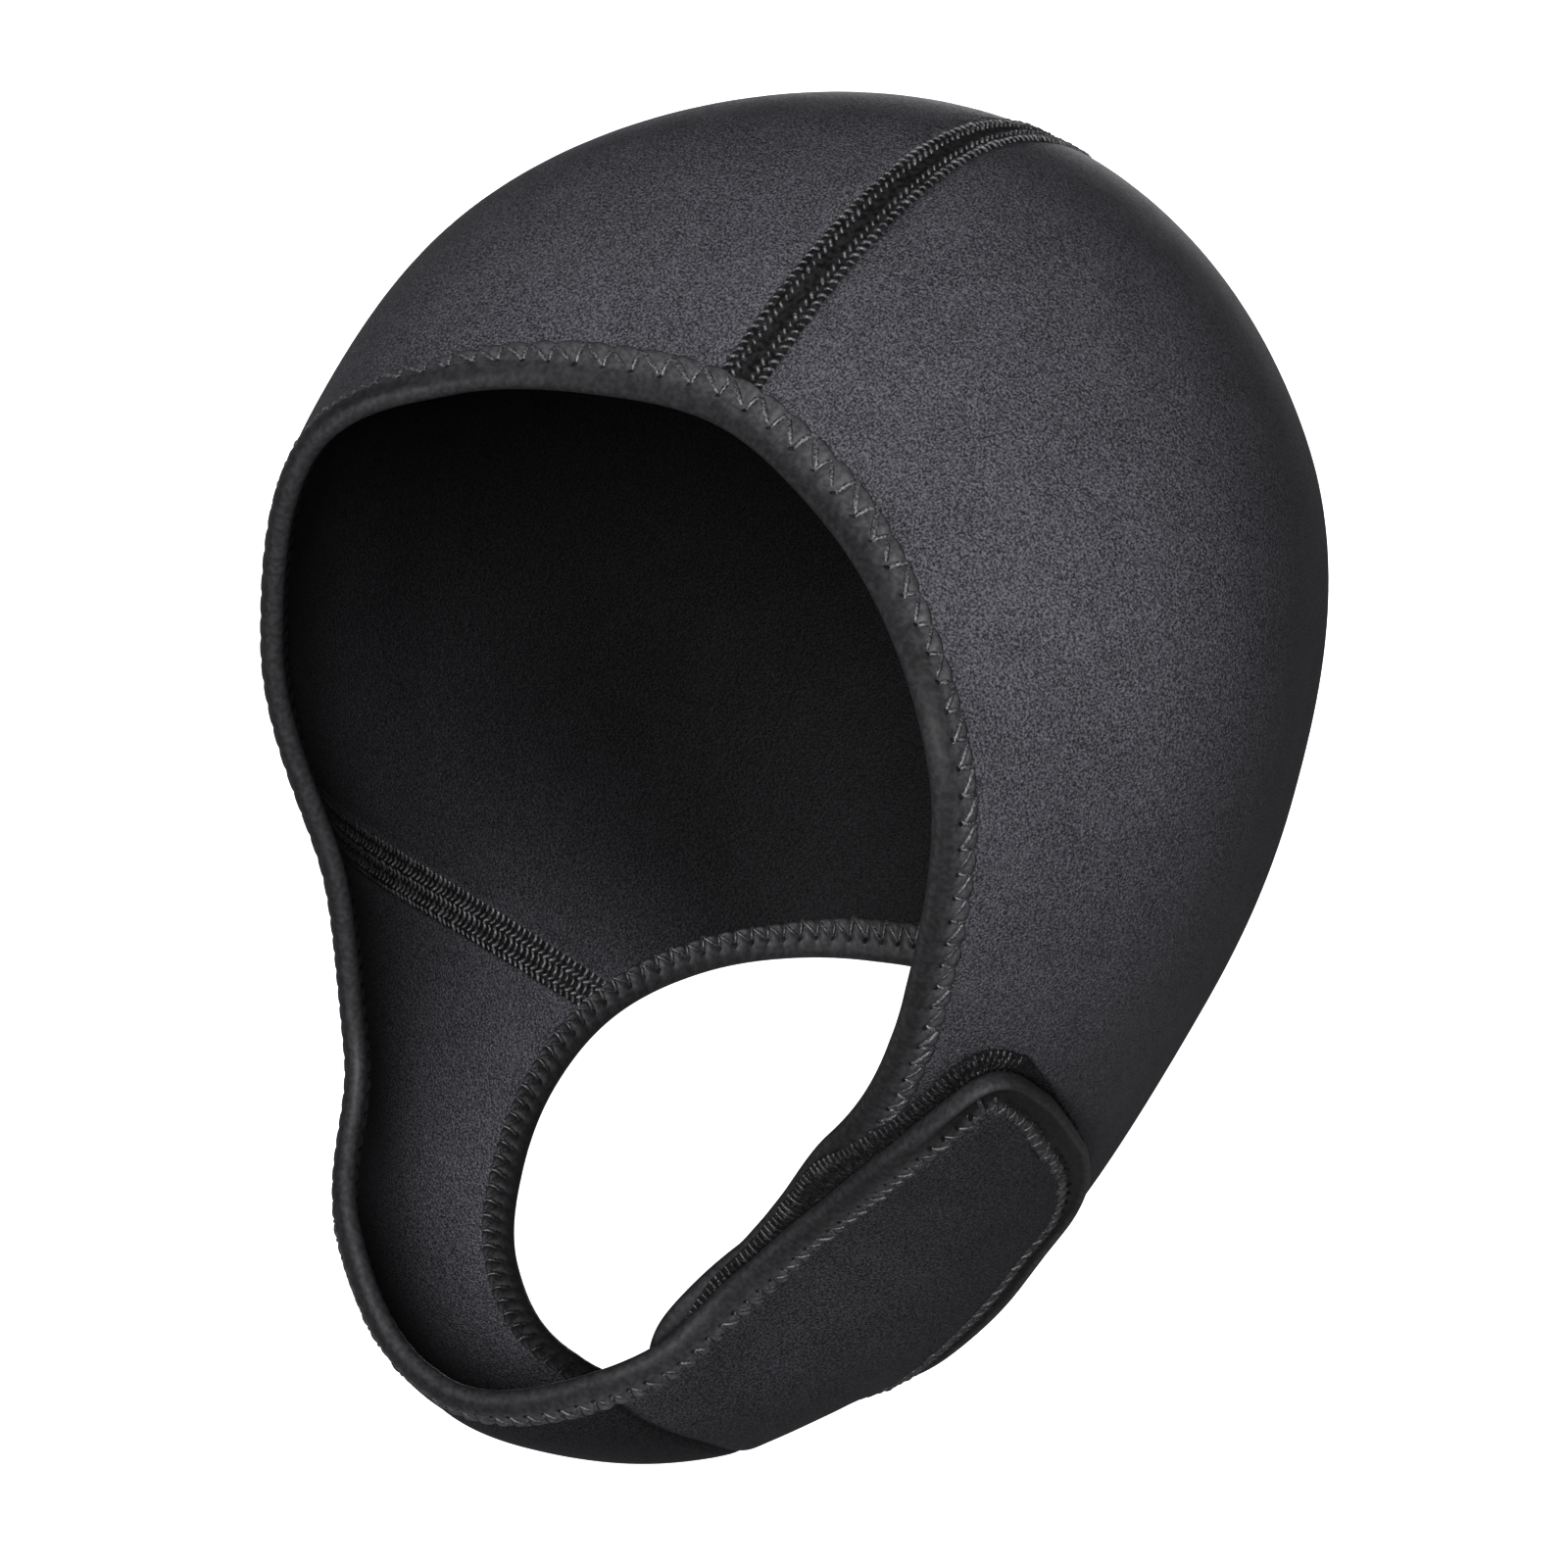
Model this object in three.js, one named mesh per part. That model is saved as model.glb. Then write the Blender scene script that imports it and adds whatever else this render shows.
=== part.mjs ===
import * as THREE from 'three';

// Neoprene diving cap, closed under the chin. Millimetres, +Z up, the face opening towards -Y and the
// wearer's left at +X. The origin is where the top of the head touches the inside of the crown.

// Overall sizes of the worn cap, without the strap's overlap on the left cheek
const capWidth = 164;
const capDepth = 173;
const capHeight = 227;

// Cloth, tape and seams
const wallThickness = 2.5;
const tapeDepth = 4;
const tapeThickness = 4;
const seamWidth = 7.5;
const seamThickness = 3;
const pieceGap = 0.35;
const tapeGap = 0.75;
const patchGap = 0.55;

// Closure: the soft patch on the flap and the gripping patch inside the tab
const loopThickness = 0.9;
const hookThickness = 0.6;
const patchMargin = 1.2;
const hookMargin = 4.5;
const flapTuck = 4;

// The form is read around a line that runs from the face opening to the neck opening. Fan is the turn
// around that line, 0 over the crown and 180 under the chin. Polar is the angle from its front end.
const lineTilt = 30;
const hub = new THREE.Vector3(0, -0.16, -0.53);
const formWidth = 1.64;
const formDepth = 1.73;
const formHeight = 2.27;

// Sections, one for each turn of the fan, alike on both sides: the polar angle of the face edge and of
// the neck edge, and the reach from the hub at six even steps between the two edges
const sections = [
  { fan: 0, face: 29.5, neck: 158, edge: 1.09, front: 1.405, crown: 1.39, back: 1.245, nape: 1.1, rim: 1.02 },
  { fan: 22.5, face: 29.5, neck: 158.5, edge: 1.085, front: 1.35, crown: 1.285, back: 1.13, nape: 1.035, rim: 1 },
  { fan: 45, face: 31, neck: 157.5, edge: 1.1, front: 1.225, crown: 1.055, back: 0.94, nape: 0.925, rim: 0.965 },
  { fan: 67.5, face: 35.5, neck: 155, edge: 1.085, front: 1, crown: 0.86, back: 0.79, nape: 0.825, rim: 0.92 },
  { fan: 90, face: 46, neck: 151.5, edge: 0.855, front: 0.75, crown: 0.7, back: 0.705, nape: 0.775, rim: 0.88 },
  { fan: 112.5, face: 65, neck: 148, edge: 0.58, front: 0.58, crown: 0.625, back: 0.69, nape: 0.76, rim: 0.835 },
  { fan: 135, face: 89, neck: 143.5, edge: 0.56, front: 0.605, crown: 0.68, back: 0.745, nape: 0.78, rim: 0.805 },
  { fan: 157.5, face: 93.5, neck: 137.5, edge: 0.68, front: 0.745, crown: 0.785, back: 0.81, nape: 0.81, rim: 0.795 },
  { fan: 180, face: 96.5, neck: 133, edge: 0.775, front: 0.81, crown: 0.82, back: 0.825, nape: 0.81, rim: 0.785 },
];
const reachNames = ['edge', 'front', 'crown', 'back', 'nape', 'rim'];

// Where the seams leave the face edge and meet the neck edge
const crownSeam = { faceFan: 0, neckFan: 0 };
const cheekSeam = { faceFan: -105, neckFan: -90 };

// Flap of the left panel, from the cheek to its round tip: front and rear edges as shares of the way
// from the face edge to the neck edge
const flapSections = [
  { fan: 96, front: 0, rear: 1 },
  { fan: 110, front: 0, rear: 1 },
  { fan: 122, front: -0.01, rear: 0.97 },
  { fan: 133, front: -0.01, rear: 0.88 },
  { fan: 141, front: -0.01, rear: 0.72 },
  { fan: 147, front: 0.01, rear: 0.52 },
  { fan: 150, front: 0.07, rear: 0.36 },
  { fan: 151, front: 0.16, rear: 0.26 },
];

// Chin strap past the middle of the chin, up the left cheek to the round end of its tab. Rise is the
// share of the closure's stack that it climbs
const strapSections = [
  { fan: 180, front: 0, rear: 1, rise: 0 },
  { fan: 170, front: 0, rear: 1, rise: 0.35 },
  { fan: 160, front: 0, rear: 0.99, rise: 0.75 },
  { fan: 150, front: 0, rear: 0.97, rise: 1 },
  { fan: 136, front: 0.01, rear: 0.9, rise: 1 },
  { fan: 123, front: 0.035, rear: 0.8, rise: 1 },
  { fan: 111, front: 0.055, rear: 0.7, rise: 1 },
  { fan: 103, front: 0.07, rear: 0.64, rise: 1 },
  { fan: 96, front: 0.09, rear: 0.58, rise: 1 },
  { fan: 90, front: 0.13, rear: 0.52, rise: 1 },
  { fan: 86.5, front: 0.19, rear: 0.45, rise: 1 },
  { fan: 85.2, front: 0.26, rear: 0.37, rise: 1 },
];

// Soft patch on the flap, a little ahead of the tab so that its edge shows
const loopSections = [
  { fan: 145, front: 0.04, rear: 0.45 },
  { fan: 139, front: 0, rear: 0.6 },
  { fan: 128, front: 0, rear: 0.74 },
  { fan: 114, front: 0, rear: 0.7 },
  { fan: 103, front: 0, rear: 0.65 },
  { fan: 94, front: 0.03, rear: 0.6 },
  { fan: 88, front: 0.08, rear: 0.53 },
  { fan: 85, front: 0.15, rear: 0.44 },
];

const neoprene = { color: 0x2b2b2f, roughness: 0.85, metalness: 0 };
const tape = { color: 0x3a3a3d, roughness: 0.7, metalness: 0 };
const stitching = { color: 0x1c1c1e, roughness: 0.9, metalness: 0 };
const fleece = { color: 0x141416, roughness: 1, metalness: 0 };

// Cloth stops this far inside an edge that tape runs along
const inset = tapeDepth + tapeGap;
const crownHalf = seamWidth / 2;
const besideSeam = crownHalf + pieceGap;

function smooth(low, high, value) {
  const share = THREE.MathUtils.clamp((value - low) / (high - low), 0, 1);
  return share * share * (3 - 2 * share);
}

// Smooth curve through four neighbouring values
function through(a, b, c, d, share) {
  const bend = 2 * a - 5 * b + 4 * c - d + share * (3 * (b - c) + d - a);
  return b + 0.5 * share * (c - a + share * bend);
}

// One column of the section table at any turn of the fan, mirrored at the crown and at the chin
function sectionValue(name, fan) {
  const turn = Math.abs(((fan + 540) % 360) - 180);
  const place = turn / sections[1].fan;
  const last = sections.length - 1;
  const row = Math.min(Math.floor(place), last - 1);
  const before = sections[Math.abs(row - 1)][name];
  const after = sections[row + 2 > last ? 2 * last - row - 2 : row + 2][name];
  return through(before, sections[row][name], sections[row + 1][name], after, place - row);
}

function formReach(fan, polar) {
  const face = sectionValue('face', fan);
  const neck = sectionValue('neck', fan);
  const reach = reachNames.map((name) => sectionValue(name, fan));
  const last = reach.length - 1;
  const place = (polar - face) / (neck - face) * last;
  if (place <= 0) {
    return reach[0] + place * (reach[1] - reach[0]);
  }
  if (place >= last) {
    return reach[last] + (place - last) * (reach[last] - reach[last - 1]);
  }
  const step = Math.floor(place);
  const before = step > 0 ? reach[step - 1] : 2 * reach[0] - reach[1];
  const after = step + 2 <= last ? reach[step + 2] : 2 * reach[last] - reach[last - 1];
  return through(before, reach[step], reach[step + 1], after, place - step);
}

// Point of the cap's outer form before it is moved to the seat
function formPoint(fan, polar) {
  const turn = THREE.MathUtils.degToRad(fan);
  const open = THREE.MathUtils.degToRad(polar);
  const tilt = THREE.MathUtils.degToRad(lineTilt);
  const across = Math.sin(open) * Math.cos(turn);
  const reach = formReach(fan, polar);
  return new THREE.Vector3(
    (hub.x + reach * Math.sin(open) * Math.sin(turn)) * capWidth / formWidth,
    (hub.y + reach * (-Math.cos(open) * Math.cos(tilt) + across * Math.sin(tilt))) * capDepth / formDepth,
    (hub.z + reach * (Math.cos(open) * Math.sin(tilt) + across * Math.cos(tilt))) * capHeight / formHeight,
  );
}

// The seat lies one wall below the highest point of the middle section
function findSeat() {
  let top = formPoint(0, sections[0].face);
  for (let polar = sections[0].face; polar < sections[0].neck; polar += 0.25) {
    const point = formPoint(0, polar);
    if (point.z > top.z) {
      top = point;
    }
  }
  return top.sub(new THREE.Vector3(0, 0, wallThickness));
}
const seat = findSeat();

// How the surface moves for one degree of fan and one degree of polar, and which way it faces
function surfaceFrame(fan, polar) {
  const byFan = formPoint(fan + 0.5, polar).sub(formPoint(fan - 0.5, polar));
  const byPolar = formPoint(fan, polar + 0.5).sub(formPoint(fan, polar - 0.5));
  const normal = new THREE.Vector3().crossVectors(byFan, byPolar).normalize();
  return { byFan, byPolar, normal };
}

function skinPoint(fan, polar, rise) {
  return formPoint(fan, polar).sub(seat).addScaledVector(surfaceFrame(fan, polar).normal, rise);
}

// The left cheek is drawn in where the strap closes over it
function tuckAt(fan) {
  return -flapTuck * smooth(100, 130, fan) * (1 - smooth(152, 180, fan));
}
const stackHeight = loopThickness + hookThickness + wallThickness + 3 * patchGap;
function strapRise(fan, rise) {
  return fan > 0 ? tuckAt(fan) + stackHeight * rise : 0;
}

function polarAt(fan, share) {
  const face = sectionValue('face', fan);
  return face + share * (sectionValue('neck', fan) - face);
}

// Turn of the fan that makes a sideways step of some length
function fanStep(fan, polar, length) {
  return length / surfaceFrame(fan, polar).byFan.length();
}

// Reads a table of sections at even steps, so many between each two rows
function readRows(table, steps) {
  const rows = [];
  const last = table.length - 1;
  for (let index = 0; index <= last * steps; index += 1) {
    const row = Math.min(Math.floor(index / steps), last - 1);
    const share = index / steps - row;
    const values = {};
    for (const name of Object.keys(table[0])) {
      const b = table[row][name];
      const c = table[row + 1][name];
      const a = row > 0 ? table[row - 1][name] : 2 * b - c;
      const d = row + 2 <= last ? table[row + 2][name] : 2 * c - b;
      values[name] = through(a, b, c, d, share);
    }
    rows.push(values);
  }
  return rows;
}

function edgeOf(rows, side) {
  return rows.map((row) => ({ fan: row.fan, polar: polarAt(row.fan, row[side]) }));
}

// The same at the middle of a wall whose outer face is raised over the form
function wallFrame(fan, polar, rise) {
  const middle = rise - wallThickness / 2;
  const byFan = skinPoint(fan + 0.5, polar, middle).sub(skinPoint(fan - 0.5, polar, middle));
  const byPolar = skinPoint(fan, polar + 0.5, middle).sub(skinPoint(fan, polar - 0.5, middle));
  return { byFan, byPolar, normal: surfaceFrame(fan, polar).normal };
}

// Moves an edge sideways over the surface: to its left as seen from outside when length is positive
function shiftEdge(edge, length, rises) {
  const middles = edge.map((place, index) => {
    return skinPoint(place.fan, place.polar, rises[index] - wallThickness / 2);
  });
  return edge.map((place, index) => {
    const from = middles[Math.max(index - 1, 0)];
    const to = middles[Math.min(index + 1, middles.length - 1)];
    const frame = wallFrame(place.fan, place.polar, rises[index]);
    const along = new THREE.Vector3().subVectors(to, from).normalize();
    const aside = new THREE.Vector3().crossVectors(frame.normal, along).normalize().multiplyScalar(length);
    const ff = frame.byFan.dot(frame.byFan);
    const fp = frame.byFan.dot(frame.byPolar);
    const pp = frame.byPolar.dot(frame.byPolar);
    const fa = frame.byFan.dot(aside);
    const pa = frame.byPolar.dot(aside);
    const bottom = ff * pp - fp * fp;
    return {
      fan: place.fan + (fa * pp - pa * fp) / bottom,
      polar: place.polar + (pa * ff - fa * fp) / bottom,
    };
  });
}

// Polar angle a sideways length inside the face edge, share 0, or the neck edge, share 1
function insetPolar(fan, share, length) {
  const polar = polarAt(fan, share);
  const slope = polarAt(fan + 0.5, share) - polarAt(fan - 0.5, share);
  const frame = wallFrame(fan, polar, 0);
  const along = frame.byFan.clone().addScaledVector(frame.byPolar, slope);
  const step = length * along.length() / new THREE.Vector3().crossVectors(frame.byPolar, along).length();
  return share < 0.5 ? polar + step : polar - step;
}

// Place beside a seam that runs from the face edge to the neck edge, a set distance from its middle
function seamSide(seam, share, aside) {
  const { lerp } = THREE.MathUtils;
  const turned = (turn) => lerp(
    insetPolar(seam.faceFan + turn, 0, inset),
    insetPolar(seam.neckFan + turn, 1, inset),
    share,
  );
  const fan = lerp(seam.faceFan, seam.neckFan, share);
  const turn = fanStep(fan, turned(0), aside);
  return { fan: fan + turn, polar: turned(turn) };
}

function geometryOf(positions, indices) {
  const geometry = new THREE.BufferGeometry();
  geometry.setAttribute('position', new THREE.Float32BufferAttribute(positions, 3));
  geometry.setIndex(indices);
  geometry.computeVertexNormals();
  return geometry;
}

// Closed body of a sheet: columns run along its edges, rows from its front edge to its rear edge.
// placeAt gives fan and polar, riseAt the height of its outer face over the form
function sheetGeometry(columns, rows, placeAt, riseAt, thickness) {
  const positions = [];
  const indices = [];
  const layer = columns * rows;
  for (const depth of [0, thickness]) {
    for (let column = 0; column < columns; column += 1) {
      for (let row = 0; row < rows; row += 1) {
        const place = placeAt(column, row / (rows - 1));
        const point = skinPoint(place.fan, place.polar, riseAt(place.fan, column) - depth);
        positions.push(point.x, point.y, point.z);
      }
    }
  }
  const forwards = placeAt(columns - 1, 0).fan > placeAt(0, 0).fan;
  const quad = (a, b, c, d) => {
    if (forwards) {
      indices.push(a, c, b, a, d, c);
    } else {
      indices.push(a, b, c, a, c, d);
    }
  };
  for (let column = 0; column < columns - 1; column += 1) {
    for (let row = 0; row < rows - 1; row += 1) {
      const corner = column * rows + row;
      quad(corner, corner + 1, corner + rows + 1, corner + rows);
      quad(layer + corner, layer + corner + rows, layer + corner + rows + 1, layer + corner + 1);
    }
    const front = column * rows;
    const rear = front + rows - 1;
    quad(front, front + rows, layer + front + rows, layer + front);
    quad(rear, layer + rear, layer + rear + rows, rear + rows);
  }
  const end = (columns - 1) * rows;
  for (let row = 0; row < rows - 1; row += 1) {
    quad(row, layer + row, layer + row + 1, row + 1);
    quad(end + row, end + row + 1, layer + end + row + 1, layer + end + row);
  }
  return geometryOf(positions, indices);
}

function between(front, rear, column, share) {
  return {
    fan: THREE.MathUtils.lerp(front[column].fan, rear[column].fan, share),
    polar: THREE.MathUtils.lerp(front[column].polar, rear[column].polar, share),
  };
}

// Rolled tape along an edge: a rounded section whose outer side lies on the edge
function tapeGeometry(stops, side) {
  const half = tapeThickness / 2;
  const section = [
    [0, 0.45], [0.22, 1], [0.75, 1], [1, 0.55], [1, -0.55], [0.75, -1], [0.22, -1], [0, -0.45],
  ];
  const middles = stops.map((stop) => skinPoint(stop.fan, stop.polar, stop.rise - wallThickness / 2));
  const positions = [];
  const indices = [];
  stops.forEach((stop, index) => {
    const from = middles[Math.max(index - 1, 0)];
    const to = middles[Math.min(index + 1, middles.length - 1)];
    const along = new THREE.Vector3().subVectors(to, from).normalize();
    const normal = surfaceFrame(stop.fan, stop.polar).normal;
    const inward = new THREE.Vector3().crossVectors(normal, along).normalize().multiplyScalar(side);
    const up = new THREE.Vector3().crossVectors(along, inward).normalize().multiplyScalar(side);
    for (const [inset, height] of section) {
      const point = middles[index].clone();
      point.addScaledVector(inward, inset * tapeDepth);
      point.addScaledVector(up, height * half);
      positions.push(point.x, point.y, point.z);
    }
  });
  const sides = section.length;
  const rings = stops.length;
  const face = (a, b, c) => (side > 0 ? indices.push(a, c, b) : indices.push(a, b, c));
  for (let ring = 0; ring < rings - 1; ring += 1) {
    for (let point = 0; point < sides; point += 1) {
      const a = ring * sides + point;
      const b = ring * sides + (point + 1) % sides;
      face(a, b, b + sides);
      face(a, b + sides, a + sides);
    }
  }
  for (let point = 1; point < sides - 1; point += 1) {
    face(0, point + 1, point);
    face((rings - 1) * sides, (rings - 1) * sides + point, (rings - 1) * sides + point + 1);
  }
  return geometryOf(positions, indices);
}

const cap = new THREE.Group();
function addPiece(name, geometry, look) {
  const mesh = new THREE.Mesh(geometry, new THREE.MeshStandardMaterial(look));
  mesh.name = name;
  cap.add(mesh);
}

const hoodColumns = 14;
const flapFan = flapSections[0].fan;

function hoodFan(column, lastFan) {
  return lastFan * column / hoodColumns;
}

// Left panel: from the crown seam round to the flap's tip
const flapRows = readRows(flapSections, 3);
const leftRows = [];
for (let column = 0; column < hoodColumns; column += 1) {
  leftRows.push({ fan: hoodFan(column, flapFan), front: 0, rear: 1 });
}
leftRows.push(...flapRows);
const leftRises = leftRows.map((row) => tuckAt(row.fan));
const leftFront = shiftEdge(edgeOf(leftRows, 'front'), inset, leftRises);
const leftRear = shiftEdge(edgeOf(leftRows, 'rear'), -inset, leftRises);
function leftPlace(column, share) {
  if (column === 0) {
    return seamSide(crownSeam, share, besideSeam);
  }
  return between(leftFront, leftRear, column, share);
}
addPiece('left_panel', sheetGeometry(leftRows.length, 19, leftPlace, tuckAt, wallThickness), neoprene);

// Right panel: from the crown seam to the cheek seam
const rightFront = [];
const rightRear = [];
for (let column = 0; column <= hoodColumns + 2; column += 1) {
  const share = column / (hoodColumns + 2);
  const faceFan = cheekSeam.faceFan * share;
  const neckFan = cheekSeam.neckFan * share;
  rightFront.push({ fan: faceFan, polar: polarAt(faceFan, 0) });
  rightRear.push({ fan: neckFan, polar: polarAt(neckFan, 1) });
}
const rightRises = rightFront.map(() => 0);
const rightFrontInset = shiftEdge(rightFront, -inset, rightRises);
const rightRearInset = shiftEdge(rightRear, inset, rightRises);
const rightColumns = rightFront.length;
function rightPlace(column, share) {
  if (column === 0) {
    return seamSide(crownSeam, share, -besideSeam);
  }
  if (column === rightColumns - 1) {
    return seamSide(cheekSeam, share, besideSeam);
  }
  return between(rightFrontInset, rightRearInset, column, share);
}
const level = () => 0;
addPiece('right_panel', sheetGeometry(rightColumns, 19, rightPlace, level, wallThickness), neoprene);

// Seams: bands a little proud of the cloth on both faces
const seamRise = (seamThickness - wallThickness) / 2;
function seamGeometry(seam, lengths) {
  const across = 4;
  const placeAt = (column, share) => seamSide(seam, share, crownHalf * (2 * column / (across - 1) - 1));
  return sheetGeometry(across, lengths, placeAt, () => seamRise, seamThickness);
}
addPiece('crown_seam', seamGeometry(crownSeam, 31), stitching);
addPiece('cheek_seam', seamGeometry(cheekSeam, 13), stitching);

// Chin strap: from the cheek seam under the chin to the tab's round end
const strapRows = readRows(strapSections, 3);
const cheekColumns = 9;
const strapFront = [];
const strapRear = [];
const strapRises = [];
for (let column = 0; column < cheekColumns; column += 1) {
  const share = column / cheekColumns;
  const faceFan = THREE.MathUtils.lerp(cheekSeam.faceFan, -180, share);
  const neckFan = THREE.MathUtils.lerp(cheekSeam.neckFan, -180, share);
  strapFront.push({ fan: faceFan, polar: polarAt(faceFan, 0) });
  strapRear.push({ fan: neckFan, polar: polarAt(neckFan, 1) });
  strapRises.push(0);
}
for (const row of strapRows) {
  const fan = row.fan - 360;
  strapFront.push({ fan, polar: polarAt(row.fan, row.front) });
  strapRear.push({ fan, polar: polarAt(row.fan, row.rear) });
  strapRises.push(strapRise(row.fan, row.rise));
}
const strapFrontInset = shiftEdge(strapFront, -inset, strapRises);
const strapRearInset = shiftEdge(strapRear, inset, strapRises);
function strapPlace(column, share) {
  if (column === 0) {
    return seamSide(cheekSeam, share, -besideSeam);
  }
  return between(strapFrontInset, strapRearInset, column, share);
}
const strapHeight = (fan, column) => strapRises[column];
const strapColumns = strapFront.length;
addPiece('chin_strap', sheetGeometry(strapColumns, 11, strapPlace, strapHeight, wallThickness), neoprene);

// Tape round the face opening and round the neck opening. Both run from the flap's tip to the tab's end,
// where they meet in the middle of the rounding
const tipShares = [0.16, 0.32, 0.47];
function tapeRun(leftEdge, leftOther, rightEdge, strapEdge, strapOther) {
  const flapTip = leftEdge.length - 1;
  const tabEnd = strapEdge.length - 1;
  const stops = [];
  tipShares.forEach((share) => {
    stops.unshift({ ...between(leftEdge, leftOther, flapTip, share), rise: leftRises[flapTip] });
  });
  for (let index = flapTip; index > 0; index -= 1) {
    stops.push({ ...leftEdge[index], rise: leftRises[index] });
  }
  for (let index = 0; index < rightEdge.length - 1; index += 1) {
    stops.push({ ...rightEdge[index], rise: 0 });
  }
  strapEdge.forEach((place, index) => {
    stops.push({ ...place, rise: strapRises[index] });
  });
  tipShares.forEach((share) => {
    stops.push({ ...between(strapEdge, strapOther, tabEnd, share), rise: strapRises[tabEnd] });
  });
  return stops;
}
const leftEdges = { front: edgeOf(leftRows, 'front'), rear: edgeOf(leftRows, 'rear') };
const faceRun = tapeRun(leftEdges.front, leftEdges.rear, rightFront, strapFront, strapRear);
const neckRun = tapeRun(leftEdges.rear, leftEdges.front, rightRear, strapRear, strapFront);
addPiece('face_binding', tapeGeometry(faceRun, -1), tape);
addPiece('neck_binding', tapeGeometry(neckRun, 1), tape);

// Closure patches between the flap and the tab. The soft one's front edge is a share of the way back
// from the flap's taped edge
function tapedPolar(fan, share) {
  const rows = leftRows.filter((row) => row.fan <= fan);
  const before = rows[rows.length - 1];
  const after = leftRows[rows.length];
  const edge = THREE.MathUtils.mapLinear(fan, before.fan, after.fan, before.front, after.front);
  const start = insetPolar(fan, edge, inset + patchMargin);
  return start + share * (sectionValue('neck', fan) - start);
}
const loopRows = readRows(loopSections, 3);
const loopFront = loopRows.map((row) => ({ fan: row.fan, polar: tapedPolar(row.fan, row.front) }));
const loopRear = edgeOf(loopRows, 'rear');
const loopPlace = (column, share) => between(loopFront, loopRear, column, share);
const loopRise = (fan) => tuckAt(fan) + patchGap + loopThickness;
addPiece('loop_patch', sheetGeometry(loopRows.length, 11, loopPlace, loopRise, loopThickness), fleece);

const hookRows = strapRows.filter((row) => row.fan < strapSections[3].fan && row.fan > 88);
const hookRises = hookRows.map((row) => strapRise(row.fan, row.rise));
const hookFront = shiftEdge(edgeOf(hookRows, 'front'), -inset - hookMargin, hookRises);
const hookRear = shiftEdge(edgeOf(hookRows, 'rear'), inset + hookMargin, hookRises);
const hookPlace = (column, share) => between(hookFront, hookRear, column, share);
const hookRise = (fan) => tuckAt(fan) + stackHeight - wallThickness - patchGap;
addPiece('hook_patch', sheetGeometry(hookRows.length, 9, hookPlace, hookRise, hookThickness), fleece);

export default cap;
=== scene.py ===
import math

import bpy
import numpy as np
from mathutils import Matrix, Vector


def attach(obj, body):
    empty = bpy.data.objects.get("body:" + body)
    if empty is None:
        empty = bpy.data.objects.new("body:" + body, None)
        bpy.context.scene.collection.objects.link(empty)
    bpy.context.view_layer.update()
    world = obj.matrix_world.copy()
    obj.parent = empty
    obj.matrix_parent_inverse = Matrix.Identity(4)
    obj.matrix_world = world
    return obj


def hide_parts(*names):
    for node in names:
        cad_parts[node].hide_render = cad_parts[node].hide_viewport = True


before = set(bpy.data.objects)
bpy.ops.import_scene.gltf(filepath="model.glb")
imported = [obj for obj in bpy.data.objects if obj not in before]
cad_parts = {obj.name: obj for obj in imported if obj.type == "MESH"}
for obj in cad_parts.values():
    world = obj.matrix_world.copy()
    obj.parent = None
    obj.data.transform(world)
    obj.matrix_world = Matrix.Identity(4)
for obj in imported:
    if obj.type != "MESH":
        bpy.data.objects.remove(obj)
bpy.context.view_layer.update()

# Neoprene diving cap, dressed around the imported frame: cloth, rolled tape, flatlock seams, stitches and
# the closure's patches. Metres, +Z up, the face opening towards -Y and the wearer's left at +X
mm = 0.001

# The cap's own sizes, the same as its solids have
cap = {
    "width": 164 * mm,
    "depth": 173 * mm,
    "height": 227 * mm,
    "wall": 2.5 * mm,
    "tapeDepth": 4 * mm,
    "tapeGap": 0.75 * mm,
    "patchGap": 0.55 * mm,
    "loopThickness": 0.9 * mm,
    "hookThickness": 0.6 * mm,
    "patchMargin": 1.2 * mm,
    "hookMargin": 4.5 * mm,
    "flapTuck": 4 * mm,
    "lineTilt": 30,
}
hub = (0, -0.16, -0.53)  # in shares of the form's own spans below
formSpans = (1.64, 1.73, 2.27)
inset = cap["tapeDepth"] + cap["tapeGap"]
wall = cap["wall"]

# One row for each turn of the fan round the line between the two openings: polar angles of the face
# edge and the neck edge, then the reach from the hub at six even steps between them
sectionNames = "fan face neck edge front crown back nape rim".split()
sectionRows = [
    (0, 29.5, 158, 1.09, 1.405, 1.39, 1.245, 1.1, 1.02),
    (22.5, 29.5, 158.5, 1.085, 1.35, 1.285, 1.13, 1.035, 1),
    (45, 31, 157.5, 1.1, 1.225, 1.055, 0.94, 0.925, 0.965),
    (67.5, 35.5, 155, 1.085, 1, 0.86, 0.79, 0.825, 0.92),
    (90, 46, 151.5, 0.855, 0.75, 0.7, 0.705, 0.775, 0.88),
    (112.5, 65, 148, 0.58, 0.58, 0.625, 0.69, 0.76, 0.835),
    (135, 89, 143.5, 0.56, 0.605, 0.68, 0.745, 0.78, 0.805),
    (157.5, 93.5, 137.5, 0.68, 0.745, 0.785, 0.81, 0.81, 0.795),
    (180, 96.5, 133, 0.775, 0.81, 0.82, 0.825, 0.81, 0.785),
]
sections = {name: np.array(column, float) for name, column in zip(sectionNames, zip(*sectionRows))}
reachNames = sectionNames[3:]
crownSeam = {"faceFan": 0, "neckFan": 0}
cheekSeam = {"faceFan": -105, "neckFan": -90}

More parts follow.
